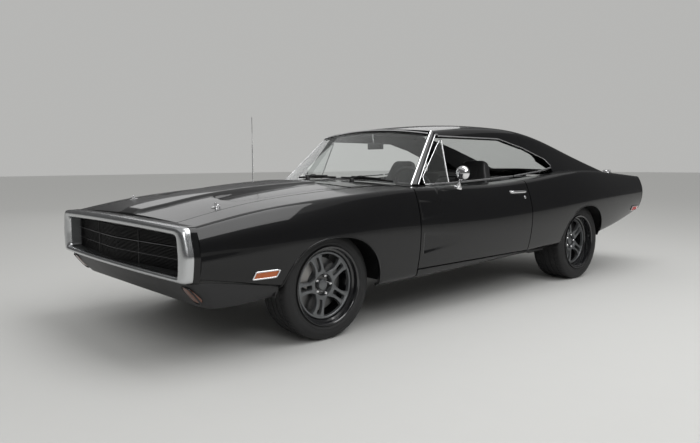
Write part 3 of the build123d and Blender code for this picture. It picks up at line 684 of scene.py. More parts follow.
@dataclass
class Door:
    """A door with two scallops behind its front edge, thick as the whole door, and the painted sill below it."""

    side: Side
    thickness: float = 96.0
    # front y, low z, high z, depth, length
    scallops: tuple = ((-896.0, 681.0, 819.0, 9.0, 430.0), (-880.0, 454.0, 595.0, 8.0, 430.0))
    # end of the closely spaced stations, and of the wider top beside the windscreen
    fine_stop: float = -820.0
    wide_stop: float = -684.0

    def relief(self, y: Array, z: Array) -> Array:
        """How far the side is pressed in, deepest at each scallop's front wall."""
        total = np.zeros_like(y)
        for front, low, high, depth, length in self.scallops:
            t = np.clip((y - front) / length, 0, 1)
            middle, half = (low + high) / 2, (high - low) / 2 * (1 - 0.55 * t)
            inside = 1 - smoothstep(-22, 8, np.abs(z - middle) - half)
            total += depth * (1 - t) ** 1.2 * inside * smoothstep(0, 12, y - front)
        return total

    def build(self) -> None:
        """Skin, inner card and edges as one shell, then the sill."""
        rows = 90
        y = np.concatenate([np.linspace(DOOR_FRONT_Y + GAP / 2, self.fine_stop, 30),
                            np.linspace(self.fine_stop + 8, DOOR_REAR_Y - GAP / 2, 80)])
        lines = BODY.lines(y)
        first = BODY.index_at_z(lines, np.full(len(y), SILL_Z + 8))
        last = BODY.index_at_x(lines, np.where(y < self.wide_stop, 806.0, 751.0))
        outer = BODY.patch(y, first, last, rows)
        outer[..., 0] -= self.relief(outer[..., 1], outer[..., 2])
        place = blend(first[:, None], last[:, None], np.linspace(0, 1, rows))
        over = smoothstep(BODY.shoulder_index - 20, BODY.shoulder_index + 6, place)
        inner = outer.copy()
        inner[..., 0] -= self.thickness * (1 - over)
        inner[..., 2] -= 70 * over
        inner[..., 1] -= 16 * smoothstep(380, 430, inner[..., 1]) * (1 - over)
        door = f"door_{self.side.word}"
        Piece.shell("door_skin", outer, inner, PAINT, self.side, body=door, nodes=(door,))
        y = np.linspace(DOOR_FRONT_Y + GAP / 2, DOOR_REAR_Y + GAP / 2, 60)
        last = BODY.index_at_z(BODY.lines(y), np.full(len(y), SILL_Z - 1))
        outer = BODY.patch(y, np.zeros(len(y)), last, 24) + vec(2, 0, -1)
        Piece.shell("sill_skin", outer, outer - vec(1, 0, 0), PAINT, self.side, edge=0)


@dataclass
class RearEnd:
    """Quarters, tulip panel and trunk lid."""

    lip: float = 9.0
    depth: float = 18.0
    columns: int = 60
    # the quarter's inner edge: y, distance from the middle
    quarter_top: tuple = ((1080, 748), (BACKLIGHT_FOOT_Y, DECK_HALF + GAP / 2))
    # the surround's section: y, how far it is drawn in
    surround_section: tuple = ((TAIL_Y - 8, 0.4), (TAIL_Y, 0), (2596, 1), (2606, 3.5), (2611, 9), (2612, 16),
                               (2609, 24), (2598, 30), (TAIL_Y + 2, 90), (TAIL_Y - 8, 60))

    def rise(self, x: Array, y: Array) -> Array:
        """Height added to the plain deck: a lip along its rear edge."""
        return self.lip * smoothstep(2430, 2567, y)

    def surround(self, side: Side) -> None:
        """Tail end of a quarter: its outline carried back, rounded over and turned in behind the tail panel."""
        line = BODY.lines(vec(TAIL_Y))[0]
        line = line[(line[:, 1] > 556) & (line[:, 0] > DECK_HALF - 40)]
        away = line - vec(600, 735)
        away /= np.linalg.norm(away, axis=1, keepdims=True)
        back, drawn = np.array(self.surround_section).T
        flat = line[:, None] - drawn[None, :, None] * away[:, None]
        points = capped(points_of(flat[..., 0], back, flat[..., 1]))
        Piece.grid(f"tail_surround_{side.word}", flip(points, side), PAINT, (False, True), sharp=40)

    def build(self) -> None:
        """All of the rear end's skins."""
        for side in Side:
            arched_panel("quarter", DOOR_REAR_Y + GAP / 2, TAIL_Y, REAR_ARCH, self.quarter_top, 64, side)
            self.surround(side)
        y = np.linspace(BACKLIGHT_FOOT_Y + 1, DECK_FRONT_Y - GAP / 2, 16)
        top_panel("tulip_skin", y, DECK_HALF + GAP / 2, self.columns, self.rise, self.depth)
        y = np.linspace(DECK_FRONT_Y + GAP / 2, TAIL_Y - 8, 80)
        top_panel("trunk_skin", y, DECK_HALF - GAP / 2, self.columns, self.rise, self.depth, body="trunk_lid",
                  nodes=("trunk_lid",))


@dataclass
class Greenhouse:
    """Roof, pillars, sail panels and glass."""

    header_y: float = -478.0
    header_bow: float = 88.0
    header_half: float = 600.0
    rear_y: float = 690.0
    sail_rear_y: float = 2104.0
    # upper edge of the side window: y, z
    window_top: tuple = ((-420, 1262), (-352, 1260), (378, 1254), (690, 1184), (1000, 1086), (1072, 1026))
    screen_base: tuple = (-790.0, 930.0)
    screen_top: tuple = (-390.0, 1300.0)
    screen_bow: float = 90.0
    screen_half: float = 745.0
    # edge of the windscreen's opening: way up the rake, distance from the middle
    screen_edge: tuple = ((-60, 764), (0, 746), (520, 606))
    # rear window: y, z
    pane: tuple = ((690, 1324), (BACKLIGHT_FOOT_Y, 1004))

    def roof(self) -> None:
        """Roof skin from the windscreen header, curved in plan, to the rear window."""
        step = 8.0
        stations = np.arange(-520.0, 720.0, step)
        table = ROOF.lines(stations)
        low = ROOF.index_at_z(table, read_table(self.window_top, stations))
        t, v = np.linspace(0, 1, 56)[None], np.linspace(0, 1, 64)[:, None]
        front = self.header_y + self.header_bow * (self.header_half * (1 - t) / 620) ** 2
        y = front + v * (self.rear_y - front)
        row = (y - stations[0]) / step
        k = np.clip(row.astype(int), 0, len(stations) - 2)
        place = low[k] + (table.shape[1] - 1 - low[k]) * t
        j = np.clip(place.astype(int), 0, table.shape[1] - 2)
        near, far = [blend(table[i, j], table[i, j + 1], (place - j)[..., None]) for i in (k, k + 1)]
        flat = blend(near, far, (row - k)[..., None])
        half = points_of(flat[..., 0], y, flat[..., 1])
        outer = np.concatenate([half, flip(half, Side.RIGHT)[:, -2::-1]], axis=1)
        Piece.shell("roof_skin", outer, thickened(outer, 24), PAINT, nodes=("roof_panel",))

    def sail(self, side: Side) -> None:
        """Sail panel: outside wall, rounded ridge and the inside wall beside the rear window."""
        y = np.linspace(self.rear_y, self.sail_rear_y, 100)
        lines = ROOF.lines(y)
        deck = BODY.line_z(770.0, y) - 3
        low = np.where(y < self.window_top[-1][0], np.maximum(read_table(self.window_top, y), deck), deck)
        last = ROOF.index_at_x(lines, np.full(len(y), BACKLIGHT_HALF))
        up = ROOF.patch(y, ROOF.index_at_z(lines, low), last, 46)
        floor = np.maximum(read_table(self.pane, y), BODY.line_z(BACKLIGHT_HALF, y)) - 14
        foot = points_of(BACKLIGHT_HALF, y, np.minimum(floor, up[:, -1, 2] - 2))
        wall = blend(up[:, -1:], foot[:, None], np.linspace(0, 1, 14)[1:, None])
        outer = np.concatenate([up, wall], axis=1)
        middle = points_of(620.0, y, low - 30)
        Piece.shell("sail_skin", outer, outer + (middle[:, None] - outer) * 0.25, PAINT, side, edge=1.5)

    def on_screen(self, x: Array, s: Array) -> Array:
        """Points of the windscreen's cylinder at a distance x from the middle and s up its rake."""
        rake = vec(0, *self.screen_top) - vec(0, *self.screen_base)
        rake /= np.linalg.norm(rake)
        inwards = vec(0, rake[2], -rake[1])
        radius = (self.screen_half**2 + self.screen_bow**2) / (2 * self.screen_bow)
        bow = (radius - self.screen_bow) - np.sqrt(radius**2 - x**2)
        return vec(0, *self.screen_base) + points_of(x, 0, 0) + s[..., None] * rake + bow[..., None] * inwards

    def pillar(self, side: Side) -> None:
        """Windscreen pillar: a bowed strip back to the side window, a bright line on each edge and trim inside."""
        s = np.linspace(-20, 520, 40)
        front = self.on_screen(read_table(self.screen_edge, s), s)
        back = ROOF.on_side(front[:, 1] + 46, front[:, 2])
        t = np.linspace(0, 1, 9)[:, None]
        outer = blend(front[:, None], back[:, None], t) + vec(7, -3, 2) * 4 * t * (1 - t)
        Piece.shell("screen_pillar", outer, outer + vec(-30, 14, -10), PAINT, side)
        Piece.sweep("screen_trim", front, (10, 6, 2.5), CHROME, (0.7, -0.6, 0.4), side=side)
        Piece.sweep("pillar_trim", back + vec(3, -2, 0), (8, 8, 3), CHROME, (1, -0.2, 0.3), side=side)
        inside = front[1:-1, None] + vec(-14, 6, -6) + vec(-20, 36, -39) * t
        Piece.shell("pillar_garnish", inside, inside - vec(6, 0, 0), GRAINED, side, edge=0)

    def windscreen(self) -> None:
        """Curved windscreen, its pillars and its upper trim."""
        s = np.linspace(-60, 470, 30)[:, None]
        x = np.linspace(-1, 1, 60) * (read_table(self.screen_edge, s) - 4)
        outer = self.on_screen(x, np.broadcast_to(s, x.shape))
        Piece.shell("windscreen_glass", outer, outer + vec(0, 3.4, -3.7), GLASS, nodes=("windscreen",), edge=0)
        for side in Side:
            self.pillar(side)
        top = self.on_screen(np.linspace(-606, 606, 60), np.full(60, 476.0))
        Piece.sweep("screen_trim_top", top + vec(0, -6, 10), (12, 7, 3), CHROME, (0, -0.7, 0.7))

    def rear_glass(self) -> None:
        """Rear window between the sail panels, crowned a little across."""
        y, x = np.linspace(self.rear_y + 2, BACKLIGHT_FOOT_Y - 2, 24)[:, None], np.linspace(-1, 1, 30)
        outer = points_of(x * (BACKLIGHT_HALF - 4), y, read_table(self.pane, y) + 14 * (1 - x**2) - 6)
        Piece.shell("rear_glass", outer, outer - vec(0, 2, 5), GLASS, nodes=("rear_window",), edge=0)

    def build(self) -> None:
        """The whole greenhouse."""
        self.rear_glass()
        self.roof()
        for side in Side:
            self.sail(side)
        self.windscreen()


@dataclass
class LoopBumper:
    """Bright loop round the recessed grille, gently bowed in plan, with a painted shroud behind it.

    An outline is a rounded trapezoid; a section runs from the outside edge over a rounded
    nose to the inside edge and back along the deep inner wall.
    """

    # half width at the foot, at mid height and at the top; low z, high z, corner radius
    outer: tuple = (898.0, 920.0, 880.0, 464.0, 750.0, 42.0)
    inner: tuple = (822.0, 826.0, 820.0, 497.0, 704.0, 34.0)
    shroud: tuple = (904.0, 926.0, 885.0, 456.0, 751.0, 42.0)
    # sections: share of the way from the outer to the inner outline, depth behind the front
    bright: tuple = ((0, 52), (0, 34), (0.02, 22), (0.1, 9), (0.26, 2), (0.5, 0), (0.72, 2), (0.9, 8), (0.985, 18),
                     (1.02, 24), (1.04, 32), (0.9, 36), (0.4, 54))
    wall: tuple = ((1.03, 30), (1.16, 60), (1.36, 96), (1.31, 98), (1.11, 62), (0.98, 32))
    mid_z: float = 600.0
    crown: float = 14.0
    bow_radius: float = 16000.0
    shroud_depth: float = 22.0

    def outline(self, shape: tuple, count: int = 440) -> Array:
        """Rounded outline as (x, z), evenly spaced, starting at the middle of the top."""
        foot, middle, top, low, high, radius = shape
        half = np.array([(0, high), (top, high), (middle, self.mid_z), (foot, low), (0, low)], float)
        corners = np.concatenate([half, half[-2::-1] * vec(-1, 1)])
        reach = np.concatenate([[0], np.cumsum(np.linalg.norm(np.diff(corners, axis=0), axis=1))])
        at = np.linspace(0, reach[-1], count, endpoint=False)
        loop = np.stack([np.interp(at, reach, corners[:, k]) for k in (0, 1)], -1)
        width = radius * 0.42 / (reach[-1] / count)
        loop = rounded_loop(loop, width, int(4 * width) + 1)
        rise = self.crown * (1 - (loop[:, 0] / 900) ** 2) * smoothstep(self.mid_z, high, loop[:, 1])
        return loop + np.stack([0 * rise, rise], -1)

    def front_y(self, x: Array) -> Array:
        """The nose's bow: how far forward the loop is at a distance from the middle."""
        return -HALF_LENGTH + self.bow_radius - np.sqrt(self.bow_radius**2 - x**2)

    def ring(self, name: str, section: tuple, finish: Finish, nodes: tuple = ()) -> None:
        """Closed ring of one section between the outer and the inner outline."""
        part, depth = np.array(section).T
        flat = blend(self.outline(self.outer)[:, None], self.outline(self.inner)[:, None], part[:, None])
        points = points_of(flat[..., 0], self.front_y(flat[..., 0]) + depth, flat[..., 1])
        Piece.grid(name, points, finish, nodes=nodes, sharp=50)

    def shrunk(self, outline: Array) -> Array:
        """The outline drawn in towards the middle of the nose."""
        middle = vec(0, 607)
        return middle + (outline - middle) * (1 - self.shroud_depth / vec(900, 145))

    def build(self) -> None:
        """The bright loop, its inner wall and its shroud."""
        self.ring("loop_bumper", self.bright, BUMPER_BRIGHT, ("bumper_loop",))
        # the inner wall gets a darker copy of the loop's metal: painted shade of the recess
        self.ring("loop_wall", self.wall, LOOP_WALL_SHADE)
        out, back = self.outline(self.outer), self.outline(self.shroud)
        rim_y, tail_y = self.front_y(out[:, 0]) + self.bright[0][1] + 1, NOSE_Y - 0.3
        rows = ((back, tail_y), (blend(out, back, 0.06), rim_y), (self.shrunk(out), rim_y), (self.shrunk(back), tail_y))
        points = np.stack([points_of(flat[:, 0], y, flat[:, 1]) for flat, y in rows], 1)
        Piece.grid("nose_shroud", points, PAINT, sharp=50)


@dataclass
class Grille:
    """Recessed grille, pointed forwards at the middle: fine slats, two bright lines darkened with painted shade of the
    recess, and two lamp-door seams.
    """

    loop: LoopBumper
    backing: tuple = (801.0, 805.0, 799.0, 502.0, 698.0, 30.0)
    slats: int = 26
    columns: int = 41
    recess: float = 94.0
    point: float = 50.0
    half: float = 800.0
    line_shares: tuple = (0.34, 0.66)
    seam_x: float = 300.0

    def face_y(self, x: Array) -> Array:
        """How far forward the slats stand at a distance from the middle."""
        return np.minimum(self.loop.front_y(x) + self.recess - self.point * (1 - np.abs(x) / self.half), NOSE_Y + 2)

    def path(self, z: float, forward: float = 0.0) -> Array:
        """Line across the grille at one height."""
        x = np.linspace(-self.half, self.half, self.columns)
        return points_of(x, self.face_y(x) - forward, z)

    def build(self) -> None:
        """Backing, slats, lines and seams."""
        outline, middle = self.loop.outline(self.backing), vec(0, self.loop.mid_z)
        flat = middle + (outline[:, None] - middle) * np.linspace(1, 0.02, 8)[:, None]
        front = points_of(flat[..., 0], self.face_y(flat[..., 0]) + 11, flat[..., 1])
        back = points_of(flat[..., 0], NOSE_Y + 20, flat[..., 1])
        Piece.grid("grille_backing", np.concatenate([front, back[:, ::-1]], axis=1), GRILLE_BLACK, nodes=("grille",))
        low, high = self.loop.inner[3:5]
        profile = box_profile(2.6, 15, 1.2, 3)
        section = points_of(0, profile[:, 1], profile[:, 0])
        grids = [self.path(z)[:, None] + section for z in np.linspace(low + 8, high - 4, self.slats)]
        quads = grid_faces(self.columns, len(profile), False, True)
        faces = [quads + number * self.columns * len(profile) for number in range(self.slats)]
        Piece.make("grille_slats", np.stack(grids), np.concatenate(faces), GRILLE_BLACK)
        for number, share in enumerate(self.line_shares):
            # the lines' darkened chrome is painted shade
            Piece.sweep(f"grille_line_{number}", self.path(blend(low, high, share), 9), (4.5, 3.5, 1.5), GRILLE_LINE_SHADE)
        bar = points_of(self.seam_x, self.face_y(vec(self.seam_x)) - 4, np.linspace(low + 2, high - 2, 8))
        for side in Side:
            Piece.sweep("grille_seam", bar, (6, 12, 2), GRILLE_BLACK, (0, 1, 0), side=side)


@dataclass
class RoadWheel:
    """Split-spoke wheel with its tyre and brake disc."""

    axle: str
    side: Side
    y: float
    track: float
    radius: float
    width: float
    dish: float
    disc_face: float
    bead: float = 232.0
    sipes: int = 56
    pairs: int = 5
    bolt_radius: float = 57.15

    @property
    def word(self) -> str:
        """Wheel as written in node names."""
        return f"{self.axle}_{self.side.word}"

    @property
    def centre(self) -> Array:
        """Middle of the wheel."""
        return vec(self.side.value * self.track / 2, self.y, self.radius)

    @property
    def face(self) -> float:
        """Distance of the spokes' face from the middle of the wheel."""
        return self.width / 2 - self.dish

    def tyre(self) -> None:
        """Tyre turned from a profile with four grooves and ribbed walls, its blocks cut by sipes."""
        half, top, bead = self.width / 2, self.radius, self.bead
        wall = [(half - 15, bead), (half - 13, bead + 10), (half - 4, bead + 22), (half - 1.5, bead + 30),
                (half - 2.5, bead + 32), (half, bead + 45), (half - 1, top - 34), (half - 3, top - 31),
                (half - 6, top - 20), (half - 14, top - 9), (half - 24, top - 3.5), (half - 34, top - 1)]
        grooves = [(centre * half + side, top - depth) for centre in (0.52, 0.18, -0.18, -0.52)
                   for side, depth in ((7, 0), (5, 7), (-5, 7), (-7, 0))]
        across, high = np.array(wall + grooves + [(-x, r) for x, r in reversed(wall)]).T
        turn = np.arange(self.sipes * 5)[:, None]
        block = (high > top - 2) & (np.abs(across) > half * 0.3)
        cut = ((turn + np.where(across > 0, 0, 2)) % 5 == 0) & block
        radius, angle = high - 5.0 * cut, turn * (2 * math.pi / len(turn))
        points = points_of(across, radius * np.sin(angle), radius * np.cos(angle))
        Piece.grid(f"tyre_skin_{self.word}", points + self.centre, RUBBER, body=f"wheel_{self.word}",
                   nodes=(f"tyre_{self.word}",), sharp=40)

    def turned(self, name: str, profile: list, finish: Finish, offset: Array = (0, 0, 0), turns: int = 120,
               nodes: tuple = ()) -> None:
        """Lathed piece of this wheel, its profile given for the left side."""
        profile = [(self.side.value * x, r) for x, r in profile]
        Piece.lathe(f"{name}_{self.word}", profile, self.centre + offset, finish, turns, body=f"wheel_{self.word}",
                    nodes=nodes)

    def rim(self) -> None:
        """Gloss barrel with a stepped lip, and the grey ring that ends the spokes."""
        half, bead, face = self.width / 2, self.bead, self.face
        barrel = [(half - 1, bead + 10), (half, bead + 7), (half - 2, bead + 2), (half - 6, bead - 3),
                  (half - 14, bead - 5), (face + 14, bead - 8), (face + 8, bead - 19), (face - 6, bead - 25),
                  (face - 30, bead - 26), (-half + 30, bead - 18), (-half + 8, bead - 6), (-half, bead + 4),
                  (-half + 2, bead + 10), (-half + 14, bead), (half - 14, bead)]
        self.turned("barrel", barrel, BARREL_BLACK, nodes=(f"wheel_{self.word}",))
        steps = ((2, 0), (4, -2), (4, -9), (1, -12), (-20, -13), (-26, 3), (-1, 3))
        self.turned("spoke_ring", [(face + x, bead - 28 + r) for x, r in steps], SPOKE_GREY)

    @staticmethod
    def outlines() -> tuple:
        """Outer and slot outlines of one spoke as (sideways, radius) loops of equal count, four sides each."""
        steps, foot, tip = 24, (41, 64), (66, 190)
        right = through([(41, 66), (31, 104), (34, 145), (45, 172), (66, 184)], steps + 1)[:-1]
        t = np.linspace(-1, 1, steps + 1)[:-1]
        bottom = np.stack([foot[0] * np.sin(t * 1.2) / math.sin(1.2), np.full(steps, foot[1])], -1)
        top = np.stack([-tip[0] * t, np.sqrt(tip[1]**2 - (tip[0] * t) ** 2)], -1)
        outer = np.concatenate([bottom, right, top, right[::-1] * vec(-1, 1)])
        slot = polygon([(-13, 86), (13, 86), (14, 171), (-14, 171)], steps)
        return outer, rounded_loop(slot, 3.2, 9)

    def spokes(self) -> None:
        """Five broad spokes, each a band between its outline and its slot, as one mesh."""
        outer, slot = [outline * self.bead / 218 for outline in self.outlines()]
        part = vec(0, 0, 0.04, 0.14, 0.3, 0.7, 0.86, 0.96, 1, 1)
        deep = vec(26, 5, 1.6, 0.2, 0, 0, 0.2, 1.6, 5, 26)
        flat = blend(outer[:, None], slot[:, None], part[:, None])
        height = self.face - 12 * (1 - smoothstep(65, 135, np.linalg.norm(flat, axis=-1))) - deep
        quads = grid_faces(len(outer), len(part), True, True)
        grids, faces = [], []
        for number in range(self.pairs):
            turn = math.radians(-20 + number * 360 / self.pairs)
            radial, sideways = vec(0, math.sin(turn), math.cos(turn)), vec(0, math.cos(turn), -math.sin(turn))
            grid = flat[..., 1:] * radial + flat[..., :1] * sideways + points_of(self.side.value * height, 0, 0)
            grid = grid.reshape(-1, 3)
            inward = signed_volume(grid - grid.mean(0), quads) < 0
            grids.append(grid)
            faces.append((quads[:, ::-1] if inward else quads) + number * len(grid))
        Piece.make(f"spokes_{self.word}", np.concatenate(grids) + self.centre, np.concatenate(faces), SPOKE_GREY,
                   f"wheel_{self.word}", keep_order=True)

    def middle(self) -> None:
        """Hub with its cap and lug nuts, and the brake disc behind."""
        hub, disc = self.face - 12, self.disc_face
        # name, profile from the hub's face, finish
        rows = (("hub", ((0, 70), (0.5, 74), (-1, 80), (-8, 84), (-50, 84), (-50, 66), (-6, 66)), SPOKE_GREY),
                ("hub_floor", ((-26, 0), (-26, 66.5), (-40, 66.5), (-40, 0)), BARREL_BLACK),
                ("cap", ((-1, 0), (-2, 24), (-5, 31), (-10, 34), (-30, 35), (-30, 0)), SPOKE_GREY))
        for name, profile, finish in rows:
            self.turned(name, [(hub + x, r) for x, r in profile], finish)
        nut = [(hub + x, r) for x, r in ((2, 0), (1, 6), (-3, 9.5), (-27, 10.5), (-27, 0))]
        for number in range(self.pairs):
            turn = math.radians(16 + number * 360 / self.pairs)
            place = self.bolt_radius * vec(0, math.sin(turn), math.cos(turn))
            self.turned(f"lug_{number}", nut, CHROME, place, 18)
        rotor = ((0, 60), (0, 165), (10, 165), (10, 158), (18, 158), (18, 165), (28, 165), (28, 60))
        # disc steel darker than the other bare steel: painted shade inside the wheel
        self.turned("disc", [(disc + x, r) for x, r in rotor], DISC_STEEL_SHADE)

    def build(self) -> None:
        """Tyre, rim, spokes and what is in their middle."""
        self.tyre()
        self.rim()
        self.spokes()
        self.middle()


@dataclass
class SideTrim:
    """Bright trim round one side's windows: belt, drip rail and vent frame."""

    side: Side
    # y, height of the belt strip's middle
    belt: tuple = ((-730, 912), (-400, 916), (-35, 930), (413, 950), (822, 984), (984, 1006), (1062, 1018))
    # corners of the vent window: y, z
    vent: tuple = ((-664, 915), (-664, 966), (-362, 1238), (-340, 1240), (-396, 918))

    def strip(self, name: str, path: Array, box: tuple, body: str) -> None:
        """One bright strip that faces outwards."""
        Piece.sweep(name, path, box, CHROME, (1, 0, 0.35), side=self.side, body=body)

    def build(self) -> None:
        """All the strips of this side."""
        door = f"door_{self.side.word}"
        for name, start, stop, body in (("belt_door", -690, 424, door), ("belt_quarter", 440, 1062, "body")):
            y = np.linspace(start, stop, 40)
            self.strip(name, ROOF.on_side(y, read_table(self.belt, y)) + vec(2, 0, 0), (15, 9, 4), body)
        y = np.linspace(-392, 1066, 70)
        rail = ROOF.on_side(y, read_table(Greenhouse.window_top, y) + 7)
        self.strip("drip_rail", rail + vec(3, 0, 0), (9, 9, 3.5), "body")
        y, z = np.array(self.vent, float).T
        corners = points_of(770.5 - 0.381 * (z - ROOF_FOOT_Z), y, z)
        for number, (a, b) in enumerate(zip(corners, corners[1:])):
            path = blend(a, b, np.linspace(-0.01, 1.01, 8)[:, None])
            self.strip(f"vent_frame_{number}", path, (10, 12, 3.5), door)


@dataclass
class DoorFittings:
    """Pull handle with key lock, and the round door mirror on its stalk."""

    side: Side
    handle_z: float = 832.0
    # half of the handle's path, from its front end to its middle: x, y
    handle: tuple = ((880, 190), (900, 194), (912, 206), (917, 230), (919, 295))

    def turned(self, name: str, profile: tuple, centre: tuple, turns: int, axis: tuple) -> None:
        """One lathed chrome piece on the door."""
        Piece.lathe(name, profile, centre, CHROME, turns, axis, self.side, body=f"door_{self.side.word}")

    def swept(self, name: str, path: Array, box: tuple, **more) -> None:
        """One swept chrome piece on the door."""
        Piece.sweep(name, path, box, CHROME, side=self.side, body=f"door_{self.side.word}", **more)

    def build(self) -> None:
        """Handle, lock and mirror of one door."""
        half = np.array(self.handle, float)
        x, y = np.concatenate([half, half[-2::-1] * vec(1, -1) + vec(0, 2 * half[-1, 1])]).T
        self.swept("door_handle", through(points_of(x, y, self.handle_z), 40), (11, 20, 5),
                   nodes=(f"door_fittings_{self.side.word}",))
        foot = ((0, 0), (0, 17), (3, 16), (5, 12), (5, 0))
        for place in (208, 382):
            self.turned(f"handle_foot_{place}", foot, (889, place, self.handle_z), 32, (1, 0, -0.1))
        lock = ((-6, 0), (-6, 13), (3, 13), (5, 10), (5, 4), (3, 3.4), (3, 0))
        self.turned("door_lock", lock, (921, 362, 788), 32, (1, 0, 0.2))
        head = ((-24, 0), (-24, 20), (-19, 36), (-9, 47), (4, 52.5), (17, 52.5), (22, 51), (22, 48), (17, 46), (17, 0))
        self.turned("mirror_head", head, (930, -464, 993), 64, (0, 1, 0))
        stalk = through([(862, -418, 888), (876, -424, 915), (902, -446, 938), (926, -462, 954)], 20)
        swell = read_table(((0, 1.5), (0.25, 0.9), (1, 0.8)), np.linspace(0, 1, 20))
        self.swept("mirror_stalk", stalk, (18, 24, 8), up=(0, 1, 0), scale=swell)
        base = ((-8, 0), (-8, 30), (2, 29), (5, 22), (6, 0))
        self.turned("mirror_base", base, (862, -416, 892), 40, (0.45, 0, 0.89))


@dataclass
class Wipers:
    """Two black wipers parked along the foot of the windscreen."""

    # pivot x, blade's two ends: x, y each
    rows: tuple = ((330.0, (640.0, -868.0), (170.0, -944.0)), (-190.0, (110.0, -948.0), (-380.0, -925.0)))
    pivot_y: float = -985.0

    def build(self) -> None:
        """Blades with their spines, arms and pivots."""
        for number, (pivot_x, start, stop) in enumerate(self.rows):
            x, y = blend(vec(*start)[:, None], vec(*stop)[:, None], np.linspace(0, 1, 24))
            path = points_of(x, y, BODY.line_z(x, y) + 20)
            Piece.sweep(f"wiper_blade_{number}", path, (7, 15, 2), SATIN_BLACK)
            Piece.sweep(f"wiper_spine_{number}", path[5:19] + vec(0, -3, 12), (10, 8, 2), SATIN_BLACK)
            middle = path[12] + vec(0, -3, 18)
            foot = vec(pivot_x, self.pivot_y, BODY.line_z(pivot_x, vec(self.pivot_y))[0] + 14)
            bend = (foot + middle) / 2 + vec(0, 0, 14)
            Piece.sweep(f"wiper_arm_{number}", through([foot, bend, middle], 18), (13, 6, 2), SATIN_BLACK)
            cap = ((-14, 0), (-14, 17), (4, 16), (10, 12), (12, 0))
            Piece.lathe(f"wiper_pivot_{number}", cap, foot, SATIN_BLACK, 32, (0, -0.05, 1))


@dataclass
class SmallParts:
    """Hood pins, fuel cap, antenna and cabin mirror."""

    pin: tuple = (570.0, -2243.0)
    cap: tuple = (798.0, 1990.0, 955.0)

    def hood_pin(self, side: Side) -> None:
        """Plate, post and wire clip of a hood pin."""
        x, y = self.pin
        place, axis = vec(x, y, BODY.line_z(x, vec(y))[0]), (0, -0.15, 1)
        plate = ((-4, 0), (-4, 27), (3, 26), (5, 20), (3, 10), (3, 0))
        Piece.lathe("hood_pin_plate", plate, place, CHROME, 48, axis, side, body="hood")
        post = ((0, 0), (0, 7), (20, 7), (26, 5), (28, 0))
        Piece.lathe("hood_pin_post", post, place, CHROME, 28, axis, side, body="hood")
        turn = full_turn(40)
        ring = points_of(17 * side.value * np.cos(turn) + 12, 15 * np.sin(turn), 14) + place
        Piece.sweep("hood_pin_clip", ring, (4, 4, 1.9), CHROME, closed=True, side=side, body="hood")

    def fuel_cap(self) -> None:
        """Flip-open racing cap with a stepped lid and a lever."""
        lid = ((0, 0), (0, 45), (10, 45), (14, 43), (14, 39), (24, 38), (28, 34), (30, 18), (31, 0))
        base = vec(*self.cap)
        Piece.lathe("fuel_cap_lid", lid, base, CHROME, 72, (0.12, 0.03, 1), nodes=("fuel_cap",))
        lever = through([base + (26, -18, 33), base + (36, 0, 31), base + (26, 18, 30)], 16)
        Piece.sweep("fuel_cap_lever", lever, (8, 5, 2), CHROME)

    @staticmethod
    def antenna() -> None:
        """Whip with its ball tip and stepped base."""
        rod = ((0, 0), (0, 16), (6, 16), (14, 11), (18, 6), (26, 4.2), (300, 3.4), (552, 2.6), (554, 4), (558, 4.2),
               (562, 3), (562, 0))
        Piece.lathe("antenna_whip", rod, (-800, -1101, 898), CHROME, 24, (0, 0, 1), nodes=("antenna",))

    @staticmethod
    def cabin_mirror() -> None:
        """Inside mirror on its stem."""
        x = np.linspace(-84, 84, 20)
        Piece.sweep("cabin_mirror", points_of(x, 0.0008 * x**2 - 425, 1205), (18, 56, 8), SATIN_BLACK)
        stem = through([(0, -436, 1222), (0, -446, 1262), (0, -448, 1300)], 12)
        Piece.sweep("cabin_mirror_stem", stem, (12, 12, 5), CHROME, (0, 1, 0))

    def build(self) -> None:
        """All the small parts."""
        for side in Side:
            self.hood_pin(side)
        self.fuel_cap()
        self.antenna()
        self.cabin_mirror()


@dataclass
class Helm:
    """Steering wheel: thin rim, three bright spokes and a padded boss."""

    centre: tuple = (405.0, -395.0, 860.0)
    tilt: float = 25.0
    radius: float = 185.0
    spoke_angles: tuple = (0, 180, 270)

    def build(self) -> None:
        """Rim, spokes and boss."""
        a = math.radians(self.tilt)
        axis, up = vec(0, math.cos(a), math.sin(a)), vec(0, -math.sin(a), math.cos(a))

        def ray(angle: Array) -> Array:
            """Direction from the middle at an angle in the wheel's plane."""
            return np.cos(angle)[..., None] * vec(1, 0, 0) + np.sin(angle)[..., None] * up

        turn, body = full_turn(96), "steering_wheel"
        Piece.sweep("helm_rim", vec(*self.centre) + self.radius * ray(turn), (26, 27, 12.5, 6), GRAINED, axis, True,
                    1 + 0.05 * np.cos(turn * 24), body=body, nodes=(body,))
        for number, angle in enumerate(np.radians(self.spoke_angles)):
            out = np.linspace(36, self.radius - 8, 14)
            path = vec(*self.centre) + out[:, None] * ray(angle) - np.linspace(8, 1, 14)[:, None] * axis
            width = read_table(((36, 1.3), (100, 1.0), (177, 1.15)), out)
            Piece.sweep(f"helm_spoke_{number}", path, (30, 6, 2.5), STEEL, axis, scale=width, body=body)
        boss = ((-22, 14.4), (-22, 40), (-10, 46), (8, 44), (16, 34), (19, 16), (19, 14.4))
        Piece.lathe("helm_boss", boss, self.centre, GRAINED, 64, axis, body=body)
        cap = ((13, 0), (13, 15), (20, 15), (23, 11), (24, 0))
        Piece.lathe("helm_cap", cap, self.centre, CHROME, 48, axis, body=body)


